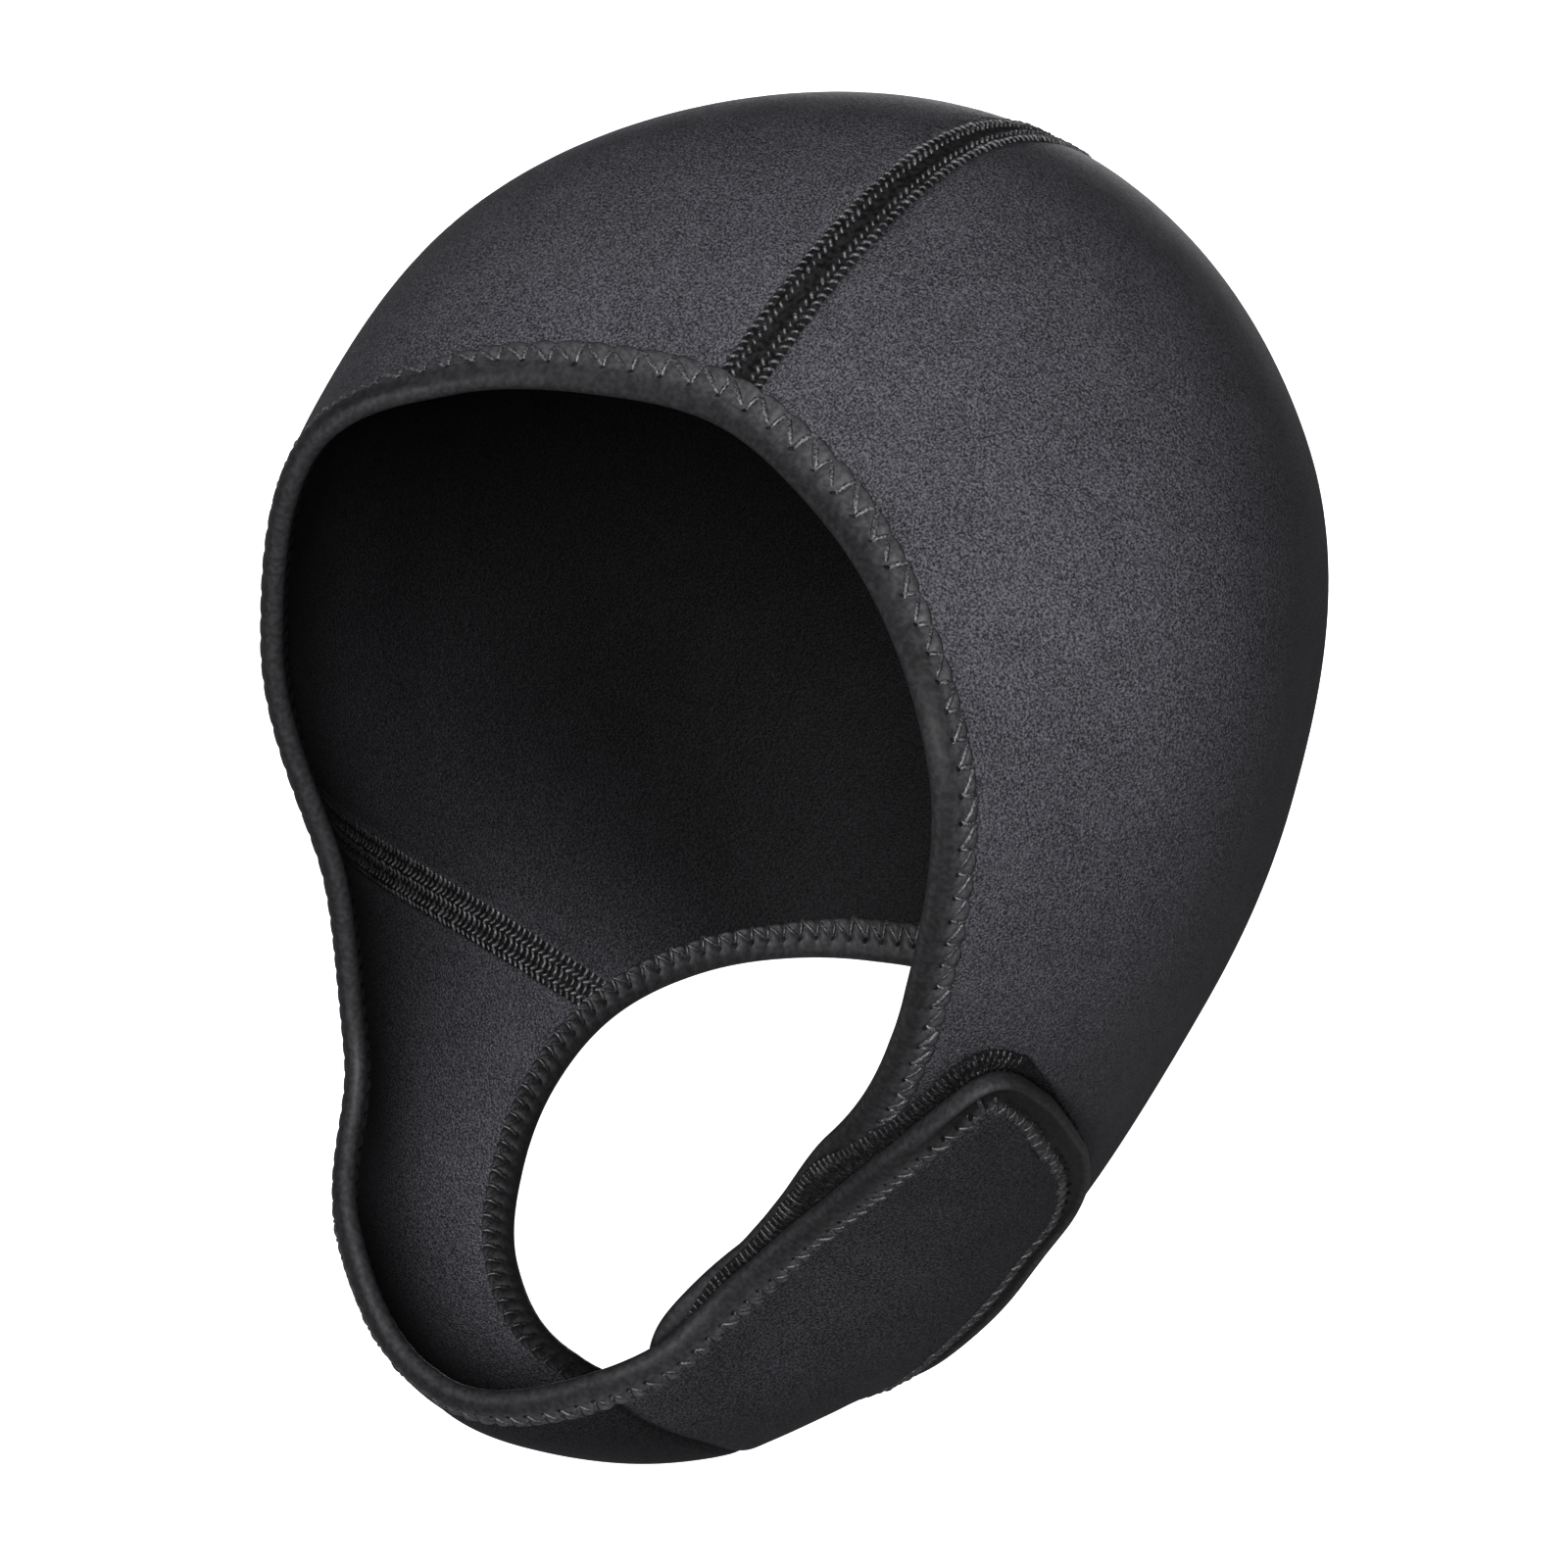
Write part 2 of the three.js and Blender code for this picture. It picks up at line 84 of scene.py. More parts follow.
# Front and rear edges of the flap, the strap and the soft patch, as shares of the way from the face
# edge to the neck edge. Rise is the strap's share of the closure's stack
flapRows = [
    (96, 0, 1),
    (110, 0.008, 1),
    (122, -0.01, 0.97),
    (128, -0.03, 0.93),
    (133, -0.043, 0.88),
    (141, -0.03, 0.72),
    (147, 0.008, 0.52),
    (150, 0.07, 0.36),
    (151, 0.16, 0.26),
]
strapRows = [
    (180, 0, 1, 0),
    (170, 0, 1, 0.35),
    (160, 0, 0.99, 0.75),
    (150, -0.004, 0.97, 1),
    (143, -0.028, 0.935, 1),
    (136, -0.04, 0.9, 1),
    (129.5, -0.018, 0.85, 1),
    (123, 0.026, 0.785, 1),
    (116.5, 0.065, 0.717, 1),
    (111, 0.073, 0.663, 1),
    (103, 0.073, 0.608, 1),
    (96, 0.088, 0.56, 1),
    (90, 0.118, 0.52, 1),
    (86.5, 0.165, 0.45, 1),
    (85.2, 0.24, 0.37, 1),
]
loopRows = [
    (145, 0.04, 0.45),
    (139, 0, 0.6),
    (128, 0, 0.74),
    (114, 0, 0.7),
    (103, 0, 0.65),
    (94, 0.03, 0.6),
    (88, 0.08, 0.53),
    (85, 0.15, 0.44),
]


def smooth(low, high, value):
    share = np.clip((value - low) / (high - low), 0, 1)
    return share * share * (3 - 2 * share)


def through(a, b, c, d, share):  # smooth curve through four neighbouring values
    bend = 2 * a - 5 * b + 4 * c - d + share * (3 * (b - c) + d - a)
    return b + 0.5 * share * (c - a + share * bend)


def sectionValue(name, fan):
    turn = np.abs((np.asarray(fan, float) + 540) % 360 - 180)
    column = sections[name]
    place = turn / sections["fan"][1]
    last = len(column) - 1
    row = np.minimum(np.floor(place), last - 1).astype(int)
    after = column[np.where(row + 2 > last, 2 * last - row - 2, row + 2)]
    return through(column[np.abs(row - 1)], column[row], column[row + 1], after, place - row)


def polarAt(fan, share):
    face = sectionValue("face", fan)
    return face + share * (sectionValue("neck", fan) - face)


def formPoint(fan, polar):
    face, neck = sectionValue("face", fan), sectionValue("neck", fan)
    reach = np.stack([sectionValue(name, fan) for name in reachNames])
    last = len(reach) - 1
    place = (polar - face) / (neck - face) * last
    step = np.clip(np.floor(place), 0, last - 1).astype(int)
    padded = np.concatenate([[2 * reach[0] - reach[1]], reach, [2 * reach[last] - reach[last - 1]]])
    near = [np.take_along_axis(padded, (step + k)[None], 0)[0] for k in range(4)]
    middle = through(*near, place - step)
    before = reach[0] + place * (reach[1] - reach[0])
    beyond = reach[last] + (place - last) * (reach[last] - reach[last - 1])
    out = np.where(place <= 0, before, np.where(place >= last, beyond, middle))
    turn, opening, tilt = np.radians(fan), np.radians(polar), math.radians(cap["lineTilt"])
    across, ahead = np.sin(opening) * np.cos(turn), np.cos(opening)
    x = hub[0] + out * np.sin(opening) * np.sin(turn)
    y = hub[1] + out * (across * math.sin(tilt) - ahead * math.cos(tilt))
    z = hub[2] + out * (across * math.cos(tilt) + ahead * math.sin(tilt))
    size = np.array([cap["width"], cap["depth"], cap["height"]]) / formSpans
    return np.stack([x, y, z], -1) * size


def unit(vectors):
    return vectors / np.linalg.norm(vectors, axis=-1, keepdims=True)


def outward(fan, polar):
    byFan = formPoint(fan + 0.5, polar) - formPoint(fan - 0.5, polar)
    byPolar = formPoint(fan, polar + 0.5) - formPoint(fan, polar - 0.5)
    return unit(np.cross(byFan, byPolar))


middlePolars = np.arange(sectionRows[0][1], sectionRows[0][2], 0.25)
middleLine = formPoint(np.zeros_like(middlePolars), middlePolars)
seat = middleLine[np.argmax(middleLine[:, 2])] - (0, 0, wall)


def skinPoint(fan, polar, rise):
    fan, polar, rise = np.broadcast_arrays(*(np.asarray(v, float) for v in (fan, polar, rise)))
    return formPoint(fan, polar) - seat + outward(fan, polar) * rise[..., None]


def skinAt(places, rise):
    return skinPoint(places[..., 0], places[..., 1], rise)


def perDegree(fan, polar, rise):  # metres for a degree of the fan and for a degree of the polar angle
    byFan = skinPoint(fan + 0.5, polar, rise) - skinPoint(fan - 0.5, polar, rise)
    return byFan, skinPoint(fan, polar + 0.5, rise) - skinPoint(fan, polar - 0.5, rise)


def placeAt(fan, share):
    return np.stack([fan, polarAt(fan, share)], -1)


def tuckAt(fan):  # the left cheek is drawn in where the strap closes over it
    return -cap["flapTuck"] * smooth(100, 130, fan) * (1 - smooth(152, 180, fan))


stackHeight = cap["loopThickness"] + cap["hookThickness"] + wall + 3 * cap["patchGap"]


# No table row is skipped: even steps between each two of them
def readRows(rows, steps):
    table = np.array(rows, float)
    last = len(table) - 1
    place = np.arange(last * steps + 1) / steps
    row = np.minimum(np.floor(place), last - 1).astype(int)
    padded = np.concatenate([[2 * table[0] - table[1]], table, [2 * table[last] - table[last - 1]]])
    near = [padded[row + k] for k in range(4)]
    return through(*near, (place - row)[:, None])


# Turns of fan and polar for one metre sideways over the wall, to the left of the edge's run
def shiftDirection(edge, rise):
    fan, polar = edge[:, 0], edge[:, 1]
    depth = rise - wall / 2
    middle = skinPoint(fan, polar, depth)
    along = unit(np.concatenate([middle[1:], middle[-1:]]) - np.concatenate([middle[:1], middle[:-1]]))
    byFan, byPolar = perDegree(fan, polar, depth)
    aside = unit(np.cross(outward(fan, polar), along))
    ff, fp, pp = (byFan * byFan).sum(1), (byFan * byPolar).sum(1), (byPolar * byPolar).sum(1)
    fa, pa = (byFan * aside).sum(1), (byPolar * aside).sum(1)
    bottom = ff * pp - fp * fp
    return np.stack([(fa * pp - pa * fp) / bottom, (pa * ff - fa * fp) / bottom], -1)


def shiftEdge(edge, length, rise):
    return edge + shiftDirection(edge, rise) * length


def insetPolar(fan, share, length):  # polar angle a sideways length inside the face or neck edge
    polar = polarAt(fan, share)
    slope = polarAt(fan + 0.5, share) - polarAt(fan - 0.5, share)
    byFan, byPolar = perDegree(fan, polar, -wall / 2)
    along = byFan + byPolar * np.asarray(slope)[..., None]
    step = np.linalg.norm(along, axis=-1) / np.linalg.norm(np.cross(byPolar, along), axis=-1) * length
    return polar + step if share < 0.5 else polar - step


# Beside a seam's middle line, share 0 at the face edge and 1 at the neck edge
def seamPlace(seam, share, aside, endInset):
    def turned(turn):
        start = insetPolar(seam["faceFan"] + turn, 0, endInset)
        end = insetPolar(seam["neckFan"] + turn, 1, endInset)
        return start + (end - start) * share
    fan = seam["faceFan"] + (seam["neckFan"] - seam["faceFan"]) * share
    byFan = formPoint(fan + 0.5, turned(0 * fan)) - formPoint(fan - 0.5, turned(0 * fan))
    turn = aside / np.linalg.norm(byFan, axis=-1)
    return np.stack([fan + turn, turned(turn)], -1)


# Meshes
def addObject(name, data):
    made = bpy.data.objects.new(name, data)
    bpy.context.scene.collection.objects.link(made)
    return made


def setShade(piece, shade):  # scales the material's colour point by point: painted shade and painted light, and the tape's paler stitched part
    layer = piece.data.attributes.new("shade", "FLOAT", "POINT")
    layer.data.foreach_set("value", shade.astype(np.float32).ravel())


def addMesh(name, points, faces, flatEnds=0):
    mesh = bpy.data.meshes.new(name)
    mesh.from_pydata(points.reshape(-1, 3).tolist(), [], faces)
    mesh.polygons.foreach_set("use_smooth", [True] * (len(faces) - flatEnds) + [False] * flatEnds)
    mesh.update()
    return addObject(name, mesh)


def gridFaces(columns, rows, closedRows=False):
    index = np.arange(columns * rows).reshape(columns, rows)
    if closedRows:
        index = np.concatenate([index, index[:, :1]], 1)
    a, b, c, d = index[:-1, :-1], index[:-1, 1:], index[1:, 1:], index[1:, :-1]
    return np.stack([a, b, c, d], -1).reshape(-1, 4)


def runLengths(points, axis):
    steps = np.linalg.norm(np.diff(points, axis=axis), axis=-1)
    first = np.zeros_like(np.take(steps, [0], axis))
    return np.concatenate([first, np.cumsum(steps, axis)], axis)


# Closed sheet over a grid of places, its outer face raised over the form by outer; lining and face scale the
# colour of its inner and outer faces, for painted shade and light
def clothSheet(name, places, outer, thickness, lining=1, face=1):
    columns, rows = places.shape[:2]
    outside, inside = skinAt(places, outer), skinAt(places, outer - thickness)
    top = gridFaces(columns, rows)
    count = columns * rows
    index = np.arange(count).reshape(columns, rows)
    rim = np.concatenate([index[:, 0], index[-1, 1:], index[-2::-1, -1], index[0, -2:0:-1]])
    following = np.roll(rim, -1)
    sides = np.stack([rim, following, following + count, rim + count], -1)
    faces = np.concatenate([top, top[:, ::-1] + count, sides])
    if places[-1, 0, 0] > places[0, 0, 0]:
        faces = faces[:, ::-1]
    piece = addMesh(name, np.concatenate([outside.reshape(-1, 3), inside.reshape(-1, 3)]), faces.tolist())
    setShade(piece, np.stack([np.broadcast_to(side, (columns, rows)) for side in (face, lining)]))
    return piece


def between(front, rear, shares):
    return front[:, None] + (rear - front)[:, None] * shares[None, :, None]


def setInputs(node, **values):  # Sheen_Weight stands for the socket Sheen Weight
    for label, value in values.items():
        node.inputs[label.replace("_", " ")].default_value = value


# Materials
# A dressed surface: grain in the colour, knit in the bump, and a fabric's sheen
def newMaterial(name, look):
    material = bpy.data.materials.new(name)
    material.use_nodes = True
    tree = material.node_tree
    nodes, link = tree.nodes, tree.links.new
    shader = nodes["Principled BSDF"]
    setInputs(
        shader, Roughness=look["roughness"], Specular_IOR_Level=look["specular"],
        Sheen_Weight=look["sheen"], Sheen_Roughness=look["sheenRoughness"], Sheen_Tint=(*look["sheenTint"], 1),
    )
    where = nodes.new("ShaderNodeTexCoord").outputs["Object"]

    def noise(size, detail):
        node = nodes.new("ShaderNodeTexNoise")
        setInputs(node, Scale=1 / size, Detail=detail)
        link(where, node.inputs["Vector"])
        return node.outputs["Fac"]

    def blend(fac, low, high):
        ramp = nodes.new("ShaderNodeMapRange")
        setInputs(ramp, From_Min=low, From_Max=high)
        link(fac, ramp.inputs["Value"])
        return ramp.outputs["Result"]

    def mixed(*values):  # factor and two colours, each a socket or fixed
        mix = nodes.new("ShaderNodeMix")
        mix.data_type = "RGBA"
        for socket, value in zip((mix.inputs["Factor"], mix.inputs[6], mix.inputs[7]), values):
            if isinstance(value, bpy.types.NodeSocket):
                link(value, socket)
            else:
                socket.default_value = value
        return mix.outputs[2]

    dark, light = (*look["dark"], 1), (*look["light"], 1)
    grain = mixed(blend(noise(look["grain"], 2), *look["grainBand"]), dark, light)
    cloudy = mixed(blend(noise(look["cloud"], 3), *look["cloudBand"]), dark, light)
    colour = mixed(look["cloudShare"], grain, cloudy)
    # the shade attribute scales the colour: painted shade and painted light
    if look["shaded"]:
        shade = nodes.new("ShaderNodeAttribute")
        shade.attribute_name = "shade"
        shaded = nodes.new("ShaderNodeVectorMath")
        shaded.operation = "SCALE"
        link(colour, shaded.inputs[0])
        link(shade.outputs["Fac"], shaded.inputs["Scale"])
        colour = shaded.outputs[0]
    link(colour, shader.inputs["Base Color"])

    if look["knit"]:
        wales = nodes.new("ShaderNodeTexWave")
        wales.bands_direction = "DIAGONAL"
        setInputs(wales, Scale=1 / look["knit"] / math.pi, Distortion=3, Detail=2, Detail_Scale=2)
        link(where, wales.inputs["Vector"])
        loops = nodes.new("ShaderNodeTexVoronoi")
        setInputs(loops, Scale=1 / look["loop"])
        link(where, loops.inputs["Vector"])
        total = nodes.new("ShaderNodeMath")
        total.operation = "MULTIPLY_ADD"
        total.inputs[1].default_value = look["waleShare"]
        link(wales.outputs["Fac"], total.inputs[0])
        link(loops.outputs["Distance"], total.inputs[2])
        height = total.outputs[0]
    else:
        height = noise(look["loop"], 3)
    bump = nodes.new("ShaderNodeBump")
    setInputs(bump, Strength=look["bump"], Distance=look["bumpDepth"])
    link(height, bump.inputs["Height"])
    link(bump.outputs["Normal"], shader.inputs["Normal"])
    return material


clothLook = {
    "dark": (0.0115, 0.0112, 0.0123),
    "light": (0.043, 0.0422, 0.0462),
    "grain": 0.33 * mm,
    "grainBand": (0.36, 0.64),  # part of the noise that runs from dark to light
    "cloud": 9 * mm,
    "cloudBand": (0.35, 0.65),
    "cloudShare": 0.08,
    "knit": 0.9 * mm,
    "loop": 0.55 * mm,
    "waleShare": 0.12,
    "bump": 0.55,
    "bumpDepth": 0.2 * mm,
    "roughness": 0.7,
    "specular": 0.06,
    "sheen": 0.005,
    "sheenRoughness": 0.45,
    "sheenTint": (0.85, 0.84, 0.92),
    "shaded": True,
}
tapeLook = {
    **clothLook,
    "dark": (0.012, 0.012, 0.0126),
    "light": (0.019, 0.019, 0.02),
    "grain": 0.9 * mm,
    "knit": 0,
    "loop": 0.4 * mm,
    "bump": 0.2,
    "bumpDepth": 0.1 * mm,
    "roughness": 0.6,
    "specular": 0.1,
    "sheen": 0.01,
}
threadLook = {
    **tapeLook,
    "shaded": False,
    "dark": (0.01, 0.01, 0.0105),
    "light": (0.046, 0.046, 0.048),
    "grain": 0.35 * mm,
    "cloud": 4 * mm,
    "loop": 0.2 * mm,
    "bump": 0.35,
    "roughness": 0.5,
    "specular": 0.18,
}
groundLook = {
    **tapeLook,
    "shaded": False,
    "dark": (0.002, 0.002, 0.0022),
    "light": (0.0105, 0.0105, 0.011),
    "roughness": 0.9,
    "specular": 0.12,
}
fleeceLook = {
    **groundLook,
    "dark": (0.0012, 0.0012, 0.0013),
    "light": (0.009, 0.009, 0.0095),
    "grain": 0.6 * mm,
    "loop": 0.5 * mm,
    "bump": 0.9,
    "bumpDepth": 0.4 * mm,
    "sheen": 0.03,
}
strapThreadLook = {**threadLook, "dark": (0.007, 0.007, 0.0073), "light": (0.027, 0.027, 0.028)}
darkThreadLook = {**threadLook, "dark": (0.003, 0.003, 0.0032), "light": (0.017, 0.017, 0.018)}
neoprene = newMaterial("jerseyFacedNeoprene", clothLook)
tapeCloth = newMaterial("rolledTape", tapeLook)
thread = newMaterial("polyesterThread", threadLook)
strapThread = newMaterial("strapThread", strapThreadLook)
darkThread = newMaterial("darkThread", darkThreadLook)
# the seams' dark ground, also used for the painted shade of the needle holes
seamGroundAndHoleShade = newMaterial("seamGroundAndHoleShade", groundLook)
fleece = newMaterial("napFleece", fleeceLook)


def finishPiece(piece, material, slot, *nodes):
    if material is not None and not piece.data.materials:
        piece.data.materials.append(material)
    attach(piece, "root")
    if nodes:
        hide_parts(*nodes)


# The two panels of the hood
hoodPanels = {
    "flapSteps": 9,
    "rows": 110,
    "seamGap": 3.5 * mm,
    "pinch": 0.35 * mm,
    "pinchWidth": 1.6 * mm,
    # painted shade on the inside, deeper further in
    "insideShadeDepth": 0.8,
    "cheekPaintedLight": 0.85,  # painted light: the cheek's lining is brighter, and keeps more of its tone further in, under weaker painted shade
    "cheekHold": 0.55,
    "liningReach": (5 * mm, 75 * mm),
    "cheekFans": (-50, -112),
    "rightColumns": 108,
    "evened": 8,  # columns beside a seam that are spread evenly
}

flap = readRows(flapRows, hoodPanels["flapSteps"])
hoodFans = np.arange(0.0, flapRows[0][0])  # a column for each degree
hoodShares = np.stack([hoodFans, 0 * hoodFans, 0 * hoodFans + 1], -1)
leftTable = np.concatenate([hoodShares, flap])
leftFan = leftTable[:, 0]
leftRise = tuckAt(leftFan)
leftEdges = [placeAt(leftFan, leftTable[:, k]) for k in (1, 2)]
shares = np.linspace(0, 1, hoodPanels["rows"])
besideSeam = hoodPanels["seamGap"]


# How far a panel's face sinks where it runs into a flat seam at one of its ends or both
def pinched(places, ends):
    length = runLengths(skinAt(places, 0), 0)
    sunk = 0
    for end in ends:
        away = length if end == 0 else length[-1] - length
        sunk = sunk - hoodPanels["pinch"] * np.exp(-(away / hoodPanels["pinchWidth"]) ** 2)
    return sunk


def spreadColumns(places, first, last):
    steps = np.arange(1, last - first)[:, None, None] / (last - first)
    places[first + 1:last] = places[first] + (places[last] - places[first]) * steps


def insetPlaces(edges, side, rises, shares):  # from the front tape's middle to the rear one's
    front, rear = shiftEdge(edges[0], side * inset, rises), shiftEdge(edges[1], -side * inset, rises)
    return between(front, rear, shares)


leftPlaces = insetPlaces(leftEdges, 1, leftRise, shares)
leftPlaces[0] = seamPlace(crownSeam, shares, besideSeam, inset)
spreadColumns(leftPlaces, 0, hoodPanels["evened"])


# Painted shade on the inside's nap: darker the further in it lies from the face edge and the cheek, with
# painted light towards the cheek
def paintedInsideShadeAndLight(places):
    across = runLengths(skinAt(places, 0), 1)
    cheek = smooth(*hoodPanels["cheekFans"], places[..., 0])
    upward = 1 - hoodPanels["cheekHold"] * cheek
    paintedCheekLight = 1 + hoodPanels["cheekPaintedLight"] * cheek
    return paintedCheekLight * (1 - hoodPanels["insideShadeDepth"] * smooth(*hoodPanels["liningReach"], across) * upward)


leftOuter = tuckAt(leftPlaces[..., 0]) + pinched(leftPlaces, [0])
leftPanel = clothSheet("leftPanelCloth", leftPlaces, leftOuter, wall, paintedInsideShadeAndLight(leftPlaces))

rightSteps = np.linspace(0, 1, hoodPanels["rightColumns"])
rightFan = [seam * rightSteps for seam in (cheekSeam["faceFan"], cheekSeam["neckFan"])]
rightEdges = [placeAt(fan, k) for k, fan in enumerate(rightFan)]
rightPlaces = insetPlaces(rightEdges, -1, np.zeros(len(rightSteps)), shares)
rightPlaces[0] = seamPlace(crownSeam, shares, -besideSeam, inset)
rightPlaces[-1] = seamPlace(cheekSeam, shares, besideSeam, inset)
spreadColumns(rightPlaces, 0, hoodPanels["evened"])
spreadColumns(rightPlaces, len(rightPlaces) - 1 - hoodPanels["evened"], len(rightPlaces) - 1)
rightOuter = pinched(rightPlaces, [0, -1])
rightPanel = clothSheet("rightPanelCloth", rightPlaces, rightOuter, wall, paintedInsideShadeAndLight(rightPlaces))
print("panels made:", len(leftPanel.data.polygons), len(rightPanel.data.polygons), "faces")

# Chin strap, from the cheek seam under the chin to the tab's round end
strapLook = {
    "cheekColumns": 74,
    "steps": 16,
    "rows": 84,
    "pillow": 0.45 * mm,  # the tab's face stands over its stitched border
    "border": 7.4 * mm,
    "borderSlope": (-1.4 * mm, 1.2 * mm),
    "borderFans": ((93, 104), (150, 166), (96, 112)),  # where it starts at the front, the rear and the end
    "sink": 0.6 * mm,
    "crease": 0.9 * mm,
    "creaseWidth": 0.75 * mm,
    "creaseStep": 0.35 * mm,
    # painted shade: a dark line along the crease
    "creaseShade": 0.75,
    "creaseTurn": 1.2 * mm,  # over the cloth for a degree of the fan
    "creaseFade": (8 * mm, 30 * mm),
    "creaseFans": ((0, 156.5), (0.39, 149.5), (0.47, 148.5), (1, 144.5)),
    "tabPaintedShade": 0.42,  # painted shade: how much darker the tab is than the hood, and the chin side of its crease
    "clothFans": (150, 200),
    "chinPaintedShade": 0.5,
    "chinFade": (30 * mm, 70 * mm),
    "evened": 10,
}

strap = readRows(strapRows, strapLook["steps"])
cheekSteps = np.arange(strapLook["cheekColumns"]) / strapLook["cheekColumns"]
strapEdges = []
for k, seamFan in enumerate((cheekSeam["faceFan"], cheekSeam["neckFan"])):
    cheekFan = seamFan + (-180 - seamFan) * cheekSteps
    cheekEdge = placeAt(cheekFan, k)
    tabEdge = np.stack([strap[:, 0] - 360, polarAt(strap[:, 0], strap[:, k + 1])], -1)
    strapEdges.append(np.concatenate([cheekEdge, tabEdge]))
strapRise = np.concatenate([0 * cheekSteps, tuckAt(strap[:, 0]) + stackHeight * strap[:, 3]])
strapShares = np.linspace(0, 1, strapLook["rows"])
strapPlaces = insetPlaces(strapEdges, -1, strapRise, strapShares)
strapPlaces[0] = seamPlace(cheekSeam, strapShares, -besideSeam, inset)
spreadColumns(strapPlaces, 0, strapLook["evened"])
strapFan = strapPlaces[..., 0] + 360  # past 180 on the right cheek


# Share of the flat border along the strap's front edge, its rear edge and its end
def tabWeights(fan):
    return [1 - smooth(*fans, fan) for fans in strapLook["borderFans"]]


strapPoints = skinAt(strapPlaces, 0)
across = runLengths(strapPoints, 1)
frontShare, rearShare, endShare = tabWeights(strapFan)
beforeTip = runLengths(strapPoints, 0)
edges = [
    (across + inset, frontShare),
    (across[:, -1:] - across + inset, rearShare),
    (beforeTip[-1] - beforeTip + inset, endShare),
]
relief = strapLook["pillow"] * rearShare
borderFrom, borderTo = (strapLook["border"] + slope for slope in strapLook["borderSlope"])
for away, share in edges:
    border = 1 - smooth(borderFrom, borderTo, away)
    relief = np.minimum(relief, relief - (relief + strapLook["sink"]) * border * share)
creaseFan = np.interp(strapShares, *zip(*strapLook["creaseFans"]))
awayFromCrease = (strapFan - creaseFan) * strapLook["creaseTurn"]
groove = np.exp(-(awayFromCrease / strapLook["creaseWidth"]) ** 2)
chinSide = smooth(0, strapLook["creaseTurn"], awayFromCrease)
relief = relief - strapLook["crease"] * groove
creaseStep = strapLook["creaseStep"] * chinSide * (1 - smooth(*strapLook["creaseFade"], awayFromCrease))
relief = relief - creaseStep
# Painted shade: darker on the chin side of the crease, on the tab, and in a line along the crease
chinPaintedShade = strapLook["chinPaintedShade"] * chinSide * (1 - smooth(*strapLook["chinFade"], awayFromCrease))
tabShade = strapLook["tabPaintedShade"] * (1 - smooth(*strapLook["clothFans"], strapFan))
strapShade = (1 - strapLook["creaseShade"] * groove) * (1 - tabShade) * (1 - chinPaintedShade)
strapOuter = strapRise[:, None] + relief + pinched(strapPlaces, [0])
# painted shade and painted light on the strap's inside
strapInsideShadeAndLight = paintedInsideShadeAndLight(strapPlaces)
chinStrap = clothSheet("chinStrapCloth", strapPlaces, strapOuter, wall + relief, strapInsideShadeAndLight, strapShade)
print("strap made:", len(chinStrap.data.polygons), "faces")


# Tape rolled over the edges, stitched down in zigzag. Inset is the way in from the edge and height the
# way out from the wall's middle, in millimetres; sway and puff are shares of the scallop and the pucker
tape = {
    "pitch": 4.05 * mm,
    "browPitch": 0.95 * mm,  # more over the left brow
    "browMiddle": 16,
    "browFans": (24, 52),
    "wideFans": (-130, -108),  # from the strap's pitch to the hood's
    "wideFrom": -118,
    "strapPitch": 3 * mm,  # also on the inside all round
    "hole": 3.65 * mm,
    "tip": 6.1 * mm,
    "borderShift": 1 * mm,
    "browWiden": 1.25 * mm,  # the stitched part reaches further in over the brow and the nape
    "widenFans": (22, 52),
    "lean": 0.12,
    "threadHeight": 1.46 * mm,
    "sway": 0.45 * mm,
    "swayRest": 0.6,
    "puff": 0.5 * mm,
    "puffRest": 0.25,
    "slit": 0.15,  # width of the pucker's dip along a thread, as a share of the pitch
    "ground": 1.27,  # height of the cloth's face over the wall's middle, in millimetres as the rows below
    "bandPaintedShade": 0.55,  # painted shade on the tab's flat border, and along the roll
    "band": ((1.2, 1.8), (4.3, 5.2)),
    "rollPaintedShade": 0.3,
    "roll": ((0.25, 0.8), (1.9, 2.6)),
    "innerRise": 0.45,  # share of the outer roll's height
    "innerPuff": 2.1,
    "outerShade": 0.6,  # the stitched part is paler, as the cloth is
    "outerFrom": (2.4, 3.6),
    "borderShare": 0.7,  # of that paleness is missing on the tab's flat border
    "tips": (0.03, 0.51, 12),  # shares of the way round the flap's and the tab's ends, and steps
    "ring": 0.5 * mm,
}
tapeSection = [
    (0, 0, 0, 0),
    (0.12, 0.6, 0, 0),
    (0.39, 1.08, 0, 0),
    (0.86, 1.5, 0, 0.05),
    (1.52, 1.8, 0, 0.1),
    (2.18, 2, 0, 0.2),
    (2.73, 2.06, 0, 0.35),
    (3.24, 1.86, 0, 0.6),
    (3.67, 1.55, 0.1, 0.9),
    (4.13, 1.5, 0.25, 1),
    (4.76, 1.56, 0.5, 1),
    (5.38, 1.56, 0.75, 0.9),
    (5.85, 1.5, 1, 0.7),
    (6.12, 1.4, 1, 0.3),
    (6.16, 1.3, 1, 0),
    (5.62, 1.27, 0.8, 0),
    (3.82, 1.27, 0, 0),
    (3.43, 1.1, 0, 0),
]
# The same points where the tape lies flat round the tab, with its stitches further in
borderSection = [
    (0, 0, 0, 0),
    (0.08, 0.8, 0, 0),
    (0.24, 1.4, 0, 0),
    (0.56, 1.86, 0, 0),
    (0.92, 2, 0, 0),
    (1.28, 1.82, 0, 0),
    (1.68, 1.2, 0, 0),
    (2.72, 1.02, 0, 0),
    (3.92, 1.02, 0, 0.1),
    (4.64, 1.1, 0, 0.4),
    (5.2, 1.46, 0.4, 1),
    (5.92, 1.54, 0.7, 0.9),
    (6.72, 1.4, 1, 0.7),
    (7.12, 1, 1, 0.3),
    (7.2, 0.7, 1, 0),
    (6.08, 0.7, 0.8, 0),
    (3.92, 0.7, 0, 0),
    (3.52, 0.6, 0, 0),
]


